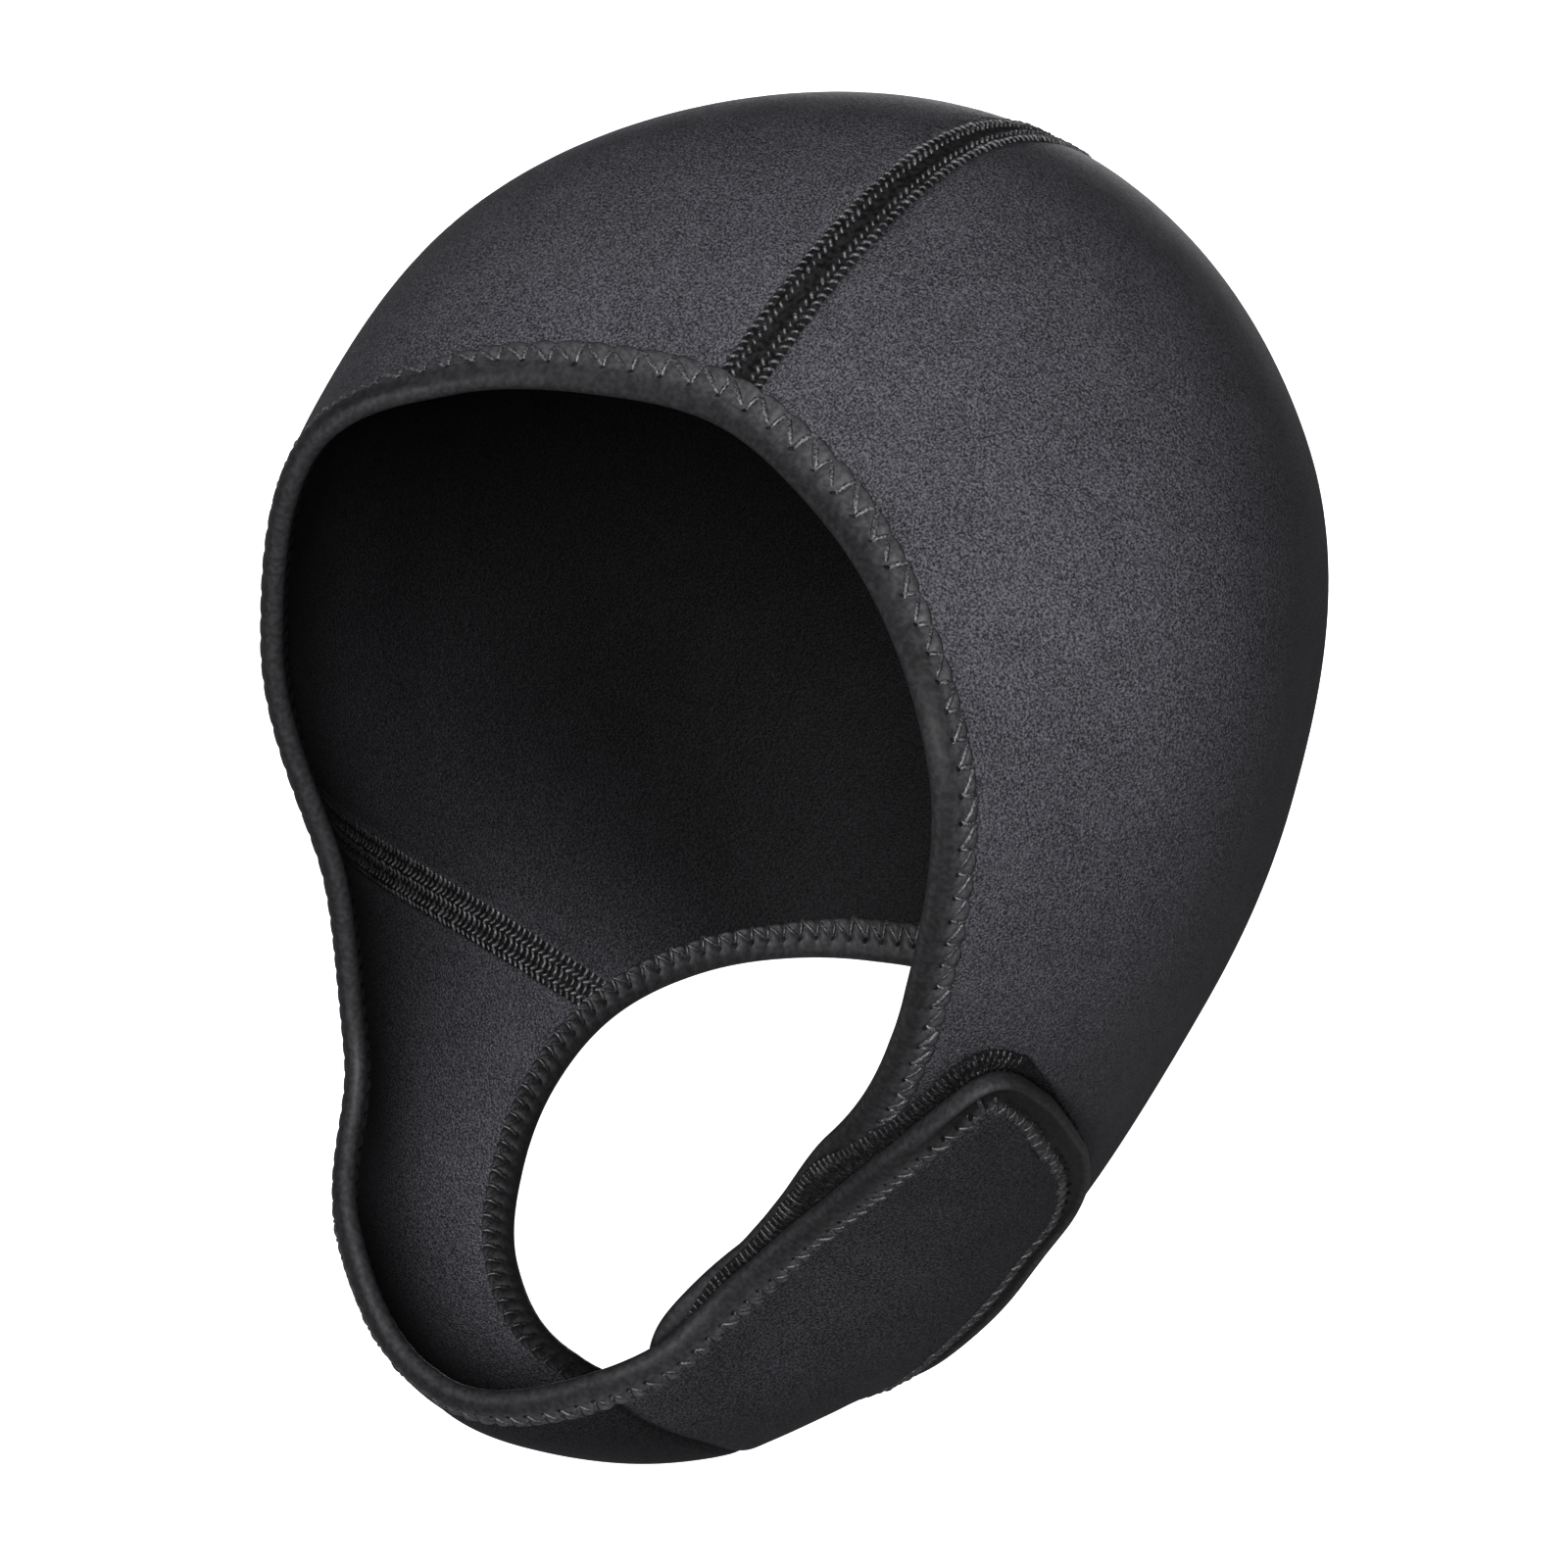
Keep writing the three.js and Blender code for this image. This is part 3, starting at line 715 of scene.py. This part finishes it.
# One edge from the flap's tip over the hood and round the strap to the tab's end
def edgeRun(leftSide, rightSide, strapSide, leftOther, strapOther):
    tips = np.linspace(*tape["tips"])[:, None]
    flapTip = leftSide[-1] + (leftOther[-1] - leftSide[-1]) * tips[::-1]
    tabEnd = strapSide[-1] + (strapOther[-1] - strapSide[-1]) * tips
    places = np.concatenate([flapTip, leftSide[:0:-1], rightSide[:-1], strapSide, tabEnd])
    rises = np.concatenate([
        np.full(len(tips), leftRise[-1]), leftRise[:0:-1], np.zeros(len(rightSide) - 1),
        strapRise, np.full(len(tips), strapRise[-1]),
    ])
    return places, rises


def evenRun(places, rises, step):
    length = runLengths(skinAt(places, rises - wall / 2), 0)
    count = int(length[-1] / step)
    even = np.linspace(0, length[-1], count)
    pick = lambda values: np.interp(even, length, values)
    return np.stack([pick(places[:, 0]), pick(places[:, 1])], -1), pick(rises)


# 1 where the tape is the tab's flat border, 0 where it is the rolled edge
def borderWeight(places, side):
    fan = np.where(places[:, 0] < cheekSeam["faceFan"], places[:, 0] + 360, 360)
    return tabWeights(fan)[0 if side < 0 else 1]


def pitchAlong(places, face):
    wide = smooth(*tape["wideFans"], places[:, 0]) * (face > 0)
    brow = tape["browPitch"] * (1 - smooth(*tape["browFans"], np.abs(places[:, 0] - tape["browMiddle"])))
    return tape["strapPitch"] + (tape["pitch"] + brow - tape["strapPitch"]) * wide


def browExtra(places):
    return tape["browWiden"] * (1 - smooth(*tape["widenFans"], np.abs(places[:, 0])))


# Place along the needle line in stitches, a whole number in all
def stitchPhase(run, side, face):
    places, rises, direction = run
    line = places + direction * (side * tape["hole"])
    steps = np.diff(runLengths(skinAt(line, rises), 0))
    phase = np.concatenate([[0], np.cumsum(steps / pitchAlong(places, face)[1:])])
    return phase / phase[-1] * int(phase[-1])


def tapeStrip(name, run, side):
    places, rises, direction = run
    weights = borderWeight(places, side)
    rings, shades = [], []
    for face in (1, -1):
        phase = stitchPhase(run, side, face) * threadTurn(run, side) * face
        plain, border = np.array(tapeSection)[None], np.array(borderSection)[None]
        section = plain + (border - plain) * (weights[:, None, None] if face > 0 else 0)
        section = np.repeat(section, len(places) // len(section), 0)
        if face < 0:
            section = section[:, :0:-1]
        insets, heights, sways, puffs = np.moveaxis(section, -1, 0)
        if face < 0:
            heights = np.minimum(heights, tape["ground"] + (heights - tape["ground"]) * tape["innerRise"])
            puffs = puffs * tape["innerPuff"]
        hole = tape["hole"] + tape["borderShift"] * weights[:, None] * (face > 0)
        extra = browExtra(places)[:, None]
        insets = insets + extra / mm * smooth(tape["hole"] / mm - 0.5, tape["tip"] / mm, insets)
        deep = np.clip((insets * mm - hole) / (tape["tip"] - tape["hole"] + extra), 0, 1)
        across = tape["lean"] * deep
        slanted = tape["lean"] + (1 - tape["lean"]) * (1 - deep)
        gap = np.minimum(*(np.abs((phase[:, None] - arm + 0.5) % 1 - 0.5) for arm in (across, slanted)))
        pucker = 1 - np.exp(-(gap / tape["slit"]) ** 2)
        bulge = np.abs(np.sin(math.pi * (phase - tape["lean"])))[:, None]
        reach = insets * mm + sways * tape["sway"] * (bulge - tape["swayRest"])
        height = heights * mm + puffs * tape["puff"] * (pucker - tape["puffRest"])
        band, roll = (
            smooth(*rising, insets) * (1 - smooth(*falling, insets))
            for rising, falling in (tape["band"], tape["roll"])
        )
        kept = 1 - tape["borderShare"] * weights[:, None]
        outer = 1 + tape["outerShade"] * smooth(*tape["outerFrom"], insets) * kept * (face > 0)
        flat = weights[:, None] * (face > 0)
        # painted shade on the tab's flat border and along the roll
        shades.append((1 - tape["bandPaintedShade"] * band * flat - tape["rollPaintedShade"] * roll * (1 - flat)) * outer)
        fan = places[:, :1] + direction[:, :1] * side * reach
        polar = places[:, 1:] + direction[:, 1:] * side * reach
        rings.append(skinPoint(fan, polar, rises[:, None] - wall / 2 + face * height))
    points = np.concatenate(rings, 1)
    shade = np.concatenate(shades, 1)
    count, around = points.shape[:2]
    faces = gridFaces(count, around, closedRows=True)
    caps = [list(range(around))[::-1], list(range((count - 1) * around, count * around))]
    if side > 0:
        faces = faces[:, ::-1]
        caps = [ring[::-1] for ring in caps]
    piece = addMesh(name, points, faces.tolist() + caps, len(caps))
    setShade(piece, shade)
    return piece


# 1 where along, inward and outward make a right-handed frame, else -1
def threadTurn(run, side):
    places, rises, direction = run
    points = skinAt(places, rises)
    aside = skinAt(places + direction * side * mm, rises) - points
    along = np.gradient(points, axis=0)
    return 1 if (np.cross(aside, outward(places[:, 0], places[:, 1])) * along).sum() > 0 else -1


runs = {}
for name, k, side in (("face", 0, -1), ("neck", 1, 1)):
    other = 1 - k
    places, rises = edgeRun(leftEdges[k], rightEdges[k], strapEdges[k], leftEdges[other], strapEdges[other])
    places, rises = evenRun(places, rises, tape["ring"])
    runs[name] = (places, rises, shiftDirection(places, rises)), side
faceTape = tapeStrip("faceBindingTape", *runs["face"])
neckTape = tapeStrip("neckBindingTape", *runs["neck"])
print("tapes made:", len(faceTape.data.polygons), len(neckTape.data.polygons), "faces")

# Seams: a dark ground with a groove along its middle, under the rows of loops
seamLook = {
    "across": 17,
    "lengths": 200,
    "endInset": 5.5 * mm,
    "half": 3.8 * mm,
    "sunk": 0.9 * mm,
    "ridge": 1.15 * mm,
    "pitch": 1.4 * mm,
    "dash": 1.25 * mm,
    "dot": 0.75 * mm,
    "innerDash": 1.5 * mm,
    "slant": 0.55,  # share of the pitch that a dash leans over
    "innerSlant": 0.6,
    "thread": {"radius": 0.31 * mm, "arch": 0.8 * mm, "sink": 0.4 * mm, "spread": 0.25},
    "rows": (-3.1, -1.6, 1.55, 3.05),  # millimetres beside the seam's middle
    "innerRows": (-3.2, -1.6, 0, 1.6, 3.2),
}


def seamBand(name, seam):
    lengths = np.linspace(0, 1, seamLook["lengths"])
    asides = np.linspace(-seamLook["half"], seamLook["half"], seamLook["across"])
    places = np.stack([seamPlace(seam, lengths, aside, seamLook["endInset"]) for aside in asides])
    share = np.abs(asides) / seamLook["half"]
    hump = np.sin(np.pi * np.clip(share, 0, 1)) ** 0.7
    height = seamLook["sunk"] + (seamLook["ridge"] - seamLook["sunk"]) * hump
    outer = np.repeat((height - wall / 2)[:, None], len(lengths), 1)
    return clothSheet(name, places, outer, 2 * height[:, None])


crownBand = seamBand("crownSeamBand", crownSeam)
cheekBand = seamBand("cheekSeamBand", cheekSeam)

# Closure patches
patchLook = {
    "overTape": 5.8 * mm,
    "edgePitch": 1.2 * mm,
    "edgeDepth": 2.6 * mm,
    "ladderRows": (0.2, 2.9),  # millimetres in from the front edge
    "ladder": {"radius": 0.3 * mm, "arch": 0.95 * mm, "spread": 0.38},
    "hookFrom": 88,
    "curls": 5200,
    "curlSize": 0.75 * mm,
    "curlTilt": 0.35,
    "curl": {"radius": 0.07 * mm, "arch": 1.1 * mm, "sink": 0.1 * mm, "spread": 0.4},
    "seed": 7,
}
patchRows = readRows(loopRows, 9)
patchFan = patchRows[:, 0]
reachOut = inset + cap["patchMargin"] - patchLook["overTape"] * smooth(97, 119, leftFan)
taped = leftEdges[0] + shiftDirection(leftEdges[0], leftRise) * reachOut[:, None]
tapedAt = np.interp(patchFan, taped[:, 0], taped[:, 1])
frontPolar = tapedAt + patchRows[:, 1] * (sectionValue("neck", patchFan) - tapedAt)
patchFront = np.stack([patchFan, frontPolar], -1)
patchRear = placeAt(patchFan, patchRows[:, 2])
patchPlaces = between(patchFront, patchRear, np.linspace(0, 1, 60))
patchRise = tuckAt(patchPlaces[..., 0]) + cap["patchGap"] + cap["loopThickness"]
loopPatch = clothSheet("loopPatchFleece", patchPlaces, patchRise, cap["loopThickness"])

tabRows = strap[(strap[:, 0] < strapRows[3][0]) & (strap[:, 0] > patchLook["hookFrom"])]
tabRise = tuckAt(tabRows[:, 0]) + stackHeight * tabRows[:, 3]
hookInset = inset + cap["hookMargin"]
hookEdges = [
    shiftEdge(placeAt(tabRows[:, 0], tabRows[:, k + 1]), sign * hookInset, tabRise)
    for k, sign in enumerate((-1, 1))
]
hookPlaces = between(*hookEdges, np.linspace(0, 1, 30))
hookRise = tuckAt(hookPlaces[..., 0]) + stackHeight - wall - cap["patchGap"]
hookPatch = clothSheet("hookPatchFleece", hookPlaces, hookRise, cap["hookThickness"])
print("seams and patches made")


# Stitches: points along the needle lines, and a node tree that lays arched arms of thread on each.
# An arm is a start and an end in shares of the stitch's pitch (x) and depth (y, the way in)
stitchLook = {"radius": 0.37 * mm, "arch": 0.85 * mm, "sink": 0.5 * mm, "spread": 0.16, "seed": 3}
zigzagArms = [((0, 0), (tape["lean"], 1)), ((tape["lean"], 1), (1, 0))]
# dark discs at the needle holes: painted shade of the holes
holeLook = {"pitch": 0.5 * mm, "depth": 0.8 * mm, "radius": 0.36 * mm, "arch": 0.12 * mm, "sink": 0.02 * mm}


def newStitchTree(name, arms, sides=6, bends=6):
    tree = bpy.data.node_groups.new(name, "GeometryNodeTree")
    lengths = dict.fromkeys(("Pitch", "Depth", "Arch", "Sink", "Thread radius"), "Float")
    kinds = {"Points": "Geometry", **lengths, "Spread": "Float", "Seed": "Int", "Thread": "Material"}
    for label, kind in kinds.items():
        socket = tree.interface.new_socket(label, in_out="INPUT", socket_type="NodeSocket" + kind)
        if label in lengths:
            socket.subtype = "DISTANCE"
    tree.interface.new_socket("Stitches", in_out="OUTPUT", socket_type="NodeSocketGeometry")
    nodes, link = tree.nodes, tree.links.new
    given = nodes.new("NodeGroupInput").outputs

    def box(last):
        node = nodes.new("ShaderNodeCombineXYZ")
        for axis, label in zip("XYZ", ("Pitch", "Depth", last)):
            link(given[label], node.inputs[axis])
        return node.outputs[0]

    low, high = box("Sink"), box("Arch")

    def place(corner, x, y, z):
        node = nodes.new("ShaderNodeVectorMath")
        node.operation = "MULTIPLY"
        link(corner, node.inputs[0])
        node.inputs[1].default_value = (x, y, z)
        return node.outputs[0]

    join = nodes.new("GeometryNodeJoinGeometry")
    for (x0, y0), (x1, y1) in arms:
        curve = nodes.new("GeometryNodeCurveQuadraticBezier")
        curve.inputs["Resolution"].default_value = bends
        link(place(low, x0, y0, -1), curve.inputs["Start"])
        link(place(high, (x0 + x1) / 2, (y0 + y1) / 2, 1), curve.inputs["Middle"])
        link(place(low, x1, y1, -1), curve.inputs["End"])
        link(curve.outputs[0], join.inputs[0])
    circle = nodes.new("GeometryNodeCurvePrimitiveCircle")
    circle.inputs["Resolution"].default_value = sides
    link(given["Thread radius"], circle.inputs["Radius"])
    swept = nodes.new("GeometryNodeCurveToMesh")
    swept.inputs["Fill Caps"].default_value = True
    link(join.outputs[0], swept.inputs["Curve"])
    link(circle.outputs[0], swept.inputs["Profile Curve"])
    rounded = nodes.new("GeometryNodeSetShadeSmooth")
    link(swept.outputs[0], rounded.inputs[0])

    turn = nodes.new("FunctionNodeAxesToRotation")
    turn.primary_axis, turn.secondary_axis = "Z", "Y"

    def stored(label):  # a direction or a stretch that each point carries
        node = nodes.new("GeometryNodeInputNamedAttribute")
        node.data_type = "FLOAT_VECTOR"
        setInputs(node, Name=label)
        return node.outputs["Attribute"]

    link(stored("up"), turn.inputs["Primary Axis"])
    link(stored("aside"), turn.inputs["Secondary Axis"])
    chance = nodes.new("FunctionNodeRandomValue")
    chance.data_type = "FLOAT"
    floats = [socket for socket in chance.inputs if socket.type == "VALUE"]
    for socket, sign in zip(floats[:2], (-1, 1)):
        edge = nodes.new("ShaderNodeMath")
        edge.operation = "MULTIPLY_ADD"
        edge.inputs[1].default_value = sign
        edge.inputs[2].default_value = 1
        link(given["Spread"], edge.inputs[0])
        link(edge.outputs[0], socket)
    link(given["Seed"], chance.inputs["Seed"])
    laid = nodes.new("GeometryNodeInstanceOnPoints")
    link(given["Points"], laid.inputs["Points"])
    link(rounded.outputs[0], laid.inputs["Instance"])
    link(turn.outputs[0], laid.inputs["Rotation"])
    size = nodes.new("ShaderNodeVectorMath")
    size.operation = "SCALE"
    link(stored("stretch"), size.inputs[0])
    link([out for out in chance.outputs if out.type == "VALUE"][0], size.inputs["Scale"])
    link(size.outputs[0], laid.inputs["Scale"])
    real = nodes.new("GeometryNodeRealizeInstances")
    link(laid.outputs[0], real.inputs[0])
    dressed = nodes.new("GeometryNodeSetMaterial")
    link(real.outputs[0], dressed.inputs["Geometry"])
    link(given["Thread"], dressed.inputs["Material"])
    link(dressed.outputs[0], nodes.new("NodeGroupOutput").inputs[0])
    return tree


# Plain mesh of the stitches laid on points with their up and aside directions
def stitchAlong(name, tree, stitches, pitch, depth, **changes):
    stitches = [row if len(row) > 3 else (*row, np.ones_like(row[0])) for row in stitches]
    points, ups, asides, stretches = (np.concatenate(parts) for parts in zip(*stitches))
    mesh = bpy.data.meshes.new(name + "Points")
    mesh.from_pydata(points.tolist(), [], [])
    for label, vectors in (("up", ups), ("aside", asides), ("stretch", stretches)):
        layer = mesh.attributes.new(label, "FLOAT_VECTOR", "POINT")
        layer.data.foreach_set("vector", vectors.astype(np.float32).ravel())
    maker = addObject(name + "Points", mesh)
    look = {**stitchLook, **changes}
    modifier = maker.modifiers.new("stitches", "NODES")
    modifier.node_group = tree
    values = {
        "Pitch": pitch, "Depth": depth, "Arch": look["arch"], "Sink": look["sink"],
        "Thread radius": look["radius"], "Spread": look["spread"], "Seed": look["seed"],
        "Thread": changes.get("material", thread),
    }
    for item in tree.interface.items_tree:
        if item.in_out == "INPUT" and item.name in values:
            modifier[item.identifier] = values[item.name]
    view = bpy.context.evaluated_depsgraph_get()
    finished = maker.evaluated_get(view)
    made = bpy.data.meshes.new_from_object(finished, preserve_all_data_layers=False, depsgraph=view)
    made.name = name
    bpy.data.objects.remove(maker)
    bpy.data.meshes.remove(mesh)
    return addObject(name, made)


# Stitch places at an even pitch along a line of places, each with its up and its way in
def needleLine(line, rises, pitch, inward, face=1, start=0):
    length = runLengths(skinAt(line, rises), 0)
    count = max(int(length[-1] / pitch), 1)
    at = (np.arange(count) + start) * length[-1] / count
    pick = lambda values: np.interp(at, length, values)
    fan, polar, rise = pick(line[:, 0]), pick(line[:, 1]), pick(rises)
    way = np.stack([pick(inward[:, 0]), pick(inward[:, 1])], -1)
    ahead = skinPoint(fan + way[:, 0] * mm, polar + way[:, 1] * mm, rise)
    here = skinPoint(fan, polar, rise)
    return here, outward(fan, polar) * face, unit(ahead - here)


# Zigzag threads outside and inside, and dark discs of painted shade at the needle holes that they dive into
def bindingStitches(name, run, side):
    places, rises, direction = run
    weight = borderWeight(places, side)
    rows = {"wide": [], "close": []}
    depth = tape["tip"] - tape["hole"]
    for face in (1, -1):
        phase = stitchPhase(run, side, face)
        at = np.arange(int(round(phase[-1])))
        base = rises - wall / 2 + face * tape["threadHeight"]
        needle = tape["hole"] + tape["borderShift"] * weight * (face > 0)
        line = places + direction * (side * needle)[:, None]
        pick = lambda values: np.interp(at, phase, values)
        fan, polar, rise = pick(line[:, 0]), pick(line[:, 1]), pick(base)
        way = np.stack([pick(direction[:, 0]), pick(direction[:, 1])], -1) * side * mm
        here = skinPoint(fan, polar, rise)
        aside = unit(skinPoint(fan + way[:, 0], polar + way[:, 1], rise) - here)
        wide = (pick(places[:, 0]) > tape["wideFrom"]) & (face > 0)
        for key, keep, pitch in (("wide", wide, tape["pitch"]), ("close", ~wide, tape["strapPitch"])):
            longer = pick(pitchAlong(places, face)) / pitch
            stretch = np.stack([longer, 1 + pick(browExtra(places)) / depth, np.ones(len(at))], -1)
            up = outward(fan, polar) * face
            rows[key].append([values[keep] for values in (here, up, aside, stretch)])
    holes = [row[:3] for row in rows["wide"] + rows["close"]]
    close = {"pitch": tape["strapPitch"], "depth": depth, "material": strapThread}
    return (
        stitchAlong(name + "Wide", zigzagTree, rows["wide"], tape["pitch"], depth),
        stitchAlong(name + "Close", zigzagTree, rows["close"], **close),
        stitchAlong(name + "Holes", holeTree, holes, **holeLook, material=seamGroundAndHoleShade),
    )


zigzagTree = newStitchTree("zigzagTree", zigzagArms)
holeTree = newStitchTree("holeTree", [((-0.5, -0.6), (0.5, 0.2))], sides=8, bends=3)
faceStitches = bindingStitches("faceBindingStitches", *runs["face"])
neckStitches = bindingStitches("neckBindingStitches", *runs["neck"])
print("edge stitches made:", *(len(piece.data.polygons) for piece in faceStitches + neckStitches))

dashTree = newStitchTree("dashTree", [((-0.5, 0.5), (0.5, -0.5))], sides=5, bends=5)
dashTreeBack = newStitchTree("dashTreeBack", [((-0.5, -0.5), (0.5, 0.5))], sides=5, bends=5)


def seamStitches(name, seam):
    lengths = np.linspace(0, 1, 240)
    pieces = []
    for face, offsets in ((1, seamLook["rows"]), (-1, seamLook["innerRows"])):
        groups = [[], []]
        for number, offset in enumerate(offsets):
            line = seamPlace(seam, lengths, offset * mm, seamLook["endInset"])
            beside = seamPlace(seam, lengths, offset * mm + mm, seamLook["endInset"])
            rises = np.full(len(lengths), face * (seamLook["ridge"] + 0.02 * mm) - wall / 2)
            start = 0.25 + 0.5 * (number % 2)  # each row begins half a pitch after the one beside it
            row = needleLine(line, rises, seamLook["pitch"], (beside - line) / mm, face, start)
            groups[number % 2 if face < 0 else int(abs(offset) < 2)].append(row)
        for number, tree in enumerate((dashTree, dashTreeBack)):
            label = name + ("Outside" if face > 0 else "Inside") + "AB"[number]
            lean = seamLook["pitch"] * seamLook["slant" if face > 0 else "innerSlant"]
            dash = seamLook[("dash", "dot")[number] if face > 0 else "innerDash"]
            pieces.append(stitchAlong(label, tree, groups[number], lean, dash, **seamLook["thread"]))
    return pieces


crownStitches = seamStitches("crownSeamStitches", crownSeam)
cheekStitches = seamStitches("cheekSeamStitches", cheekSeam)
print("seam stitches made:", *(len(piece.data.polygons) for piece in crownStitches + cheekStitches))

# Ladder of thick stitches along the soft patch's front edge, then the nap's curls
patchDirection = shiftDirection(patchFront, patchRise[:, 0])
ladderTree = newStitchTree("ladderTree", [((0, -0.15), (0.35, 1)), ((0.3, 0.1), (0.3, 0.45))])
ladderTop = patchRise[:, 0] + 0.05 * mm
ladder = []
for shift in patchLook["ladderRows"]:
    line = patchFront - patchDirection * shift * mm
    ladder.append(needleLine(line, ladderTop, patchLook["edgePitch"], -patchDirection))
patchStitches = stitchAlong(
    "loopPatchStitches", ladderTree, ladder, patchLook["edgePitch"], patchLook["edgeDepth"],
    **patchLook["ladder"], material=darkThread,
)
curlTree = newStitchTree("curlTree", [((-0.5, 0), (0.5, 0.3))], sides=3, bends=4)
chance = np.random.default_rng(patchLook["seed"])
curlRow = chance.uniform(0, patchPlaces.shape[0] - 1.001, patchLook["curls"])
curlColumn = chance.uniform(0, patchPlaces.shape[1] - 1.001, patchLook["curls"])
row, column = curlRow.astype(int), curlColumn.astype(int)
down, over = (curlRow - row)[:, None], (curlColumn - column)[:, None]
curlPlace = (
    patchPlaces[row, column] * (1 - down) * (1 - over) + patchPlaces[row + 1, column] * down * (1 - over)
    + patchPlaces[row, column + 1] * (1 - down) * over + patchPlaces[row + 1, column + 1] * down * over
)
curlRise = tuckAt(curlPlace[:, 0]) + cap["patchGap"] + cap["loopThickness"]
tilts = chance.normal(0, patchLook["curlTilt"], (patchLook["curls"], 3))
curlUp = unit(outward(curlPlace[:, 0], curlPlace[:, 1]) + tilts)
curlAside = unit(np.cross(curlUp, unit(chance.normal(0, 1, (patchLook["curls"], 3)))))
curls = [(skinAt(curlPlace, curlRise), curlUp, curlAside)]
patchFuzz = stitchAlong(
    "loopPatchNap", curlTree, curls, patchLook["curlSize"], patchLook["curlSize"],
    **patchLook["curl"], material=fleece,
)
print("patch stitches made:", len(patchStitches.data.polygons), len(patchFuzz.data.polygons))

finishPiece(leftPanel, neoprene, "neoprene", "left_panel")
finishPiece(rightPanel, neoprene, "neoprene", "right_panel")
finishPiece(chinStrap, neoprene, "neoprene", "chin_strap")
finishPiece(faceTape, tapeCloth, "tape", "face_binding")
finishPiece(neckTape, tapeCloth, "tape", "neck_binding")
finishPiece(crownBand, seamGroundAndHoleShade, "seam", "crown_seam")
finishPiece(cheekBand, seamGroundAndHoleShade, "seam", "cheek_seam")
finishPiece(loopPatch, fleece, "fleece", "loop_patch")
finishPiece(hookPatch, fleece, "fleece", "hook_patch")
for piece in faceStitches + neckStitches:
    finishPiece(piece, thread, "tape")
for piece in crownStitches + cheekStitches:
    finishPiece(piece, thread, "seam")
finishPiece(patchStitches, thread, "fleece")
finishPiece(patchFuzz, fleece, "fleece")

# Floor, light and camera
studio = {
    "floorLevel": -255 * mm,
    "floorSize": 30,
    "key": 7.6,
    "keyAzimuth": 19,
    "keyElevation": 14,
    "keySpread": 24,
    "back": 1,
    "backAzimuth": 206,
    "backElevation": 3,
    "backSpread": 24,
    "world": 0.18,
    "floorColour": 0.08,
    "floorGlow": 0.33,
    "exposure": 1.61,
    "gamma": 0.58,
}
floorMesh = bpy.data.meshes.new("floor")
reach = studio["floorSize"] / 2
corners = [(x * reach, y * reach, studio["floorLevel"]) for x, y in ((-1, -1), (1, -1), (1, 1), (-1, 1))]
floorMesh.from_pydata(corners, [], [(0, 1, 2, 3)])
floor = addObject("floor", floorMesh)
floorMaterial = bpy.data.materials.new("paleFloor")
floorMaterial.use_nodes = True
setInputs(
    floorMaterial.node_tree.nodes["Principled BSDF"], Base_Color=(*[studio["floorColour"]] * 3, 1),
    Roughness=0.9, Emission_Color=(1, 1, 1, 1), Emission_Strength=studio["floorGlow"],
)
floorMesh.materials.append(floorMaterial)

world = bpy.data.worlds.new("studio")
world.use_nodes = True
setInputs(world.node_tree.nodes["Background"], Color=(1, 1, 1, 1), Strength=studio["world"])
bpy.context.scene.world = world

photoCamera = {
    "azimuth": 25.9,
    "elevation": 13.8,
    "roll": 21.3,
    "distance": 886 * mm,
    "focal": 5674,
    "middle": (867, 667),
    "frame": 1600,
    "sensor": 36,
}
target = Vector((-seat).tolist())
azimuth, elevation, roll = (math.radians(photoCamera[k]) for k in ("azimuth", "elevation", "roll"))
across, ahead, lift, level = math.sin(azimuth), math.cos(azimuth), math.sin(elevation), math.cos(elevation)
back = Vector((across * level, -ahead * level, lift))
rightward = Vector((ahead, across, 0))
upward = Vector((-across * lift, ahead * lift, level))
turnedRight = rightward * math.cos(roll) + upward * math.sin(roll)
turnedUp = upward * math.cos(roll) - rightward * math.sin(roll)
frameWidth, middle = photoCamera["frame"], photoCamera["middle"]
cameraData = bpy.data.cameras.new("photoCamera")
cameraData.sensor_width = photoCamera["sensor"]
cameraData.lens = photoCamera["focal"] / frameWidth * photoCamera["sensor"]
cameraData.shift_x = (frameWidth / 2 - middle[0]) / frameWidth
cameraData.shift_y = (middle[1] - frameWidth / 2) / frameWidth
camera = addObject("photoCamera", cameraData)
turned = Matrix((turnedRight, turnedUp, back)).transposed().to_4x4()
camera.matrix_world = Matrix.Translation(target + back * photoCamera["distance"]) @ turned
bpy.context.scene.camera = camera

for side in ("key", "back"):  # the back light only brings out the views from behind
    lightData = bpy.data.lights.new(side + "Light", "SUN")
    lightData.energy = studio[side]
    lightData.angle = math.radians(studio[side + "Spread"])
    light = addObject(side + "Light", lightData)
    tilt, turn = 90 - studio[side + "Elevation"], studio[side + "Azimuth"]
    light.rotation_euler = (math.radians(tilt), 0, math.radians(turn))
viewSettings = bpy.context.scene.view_settings
viewSettings.view_transform = "Standard"
viewSettings.exposure = studio["exposure"]
viewSettings.gamma = studio["gamma"]
print("studio made")
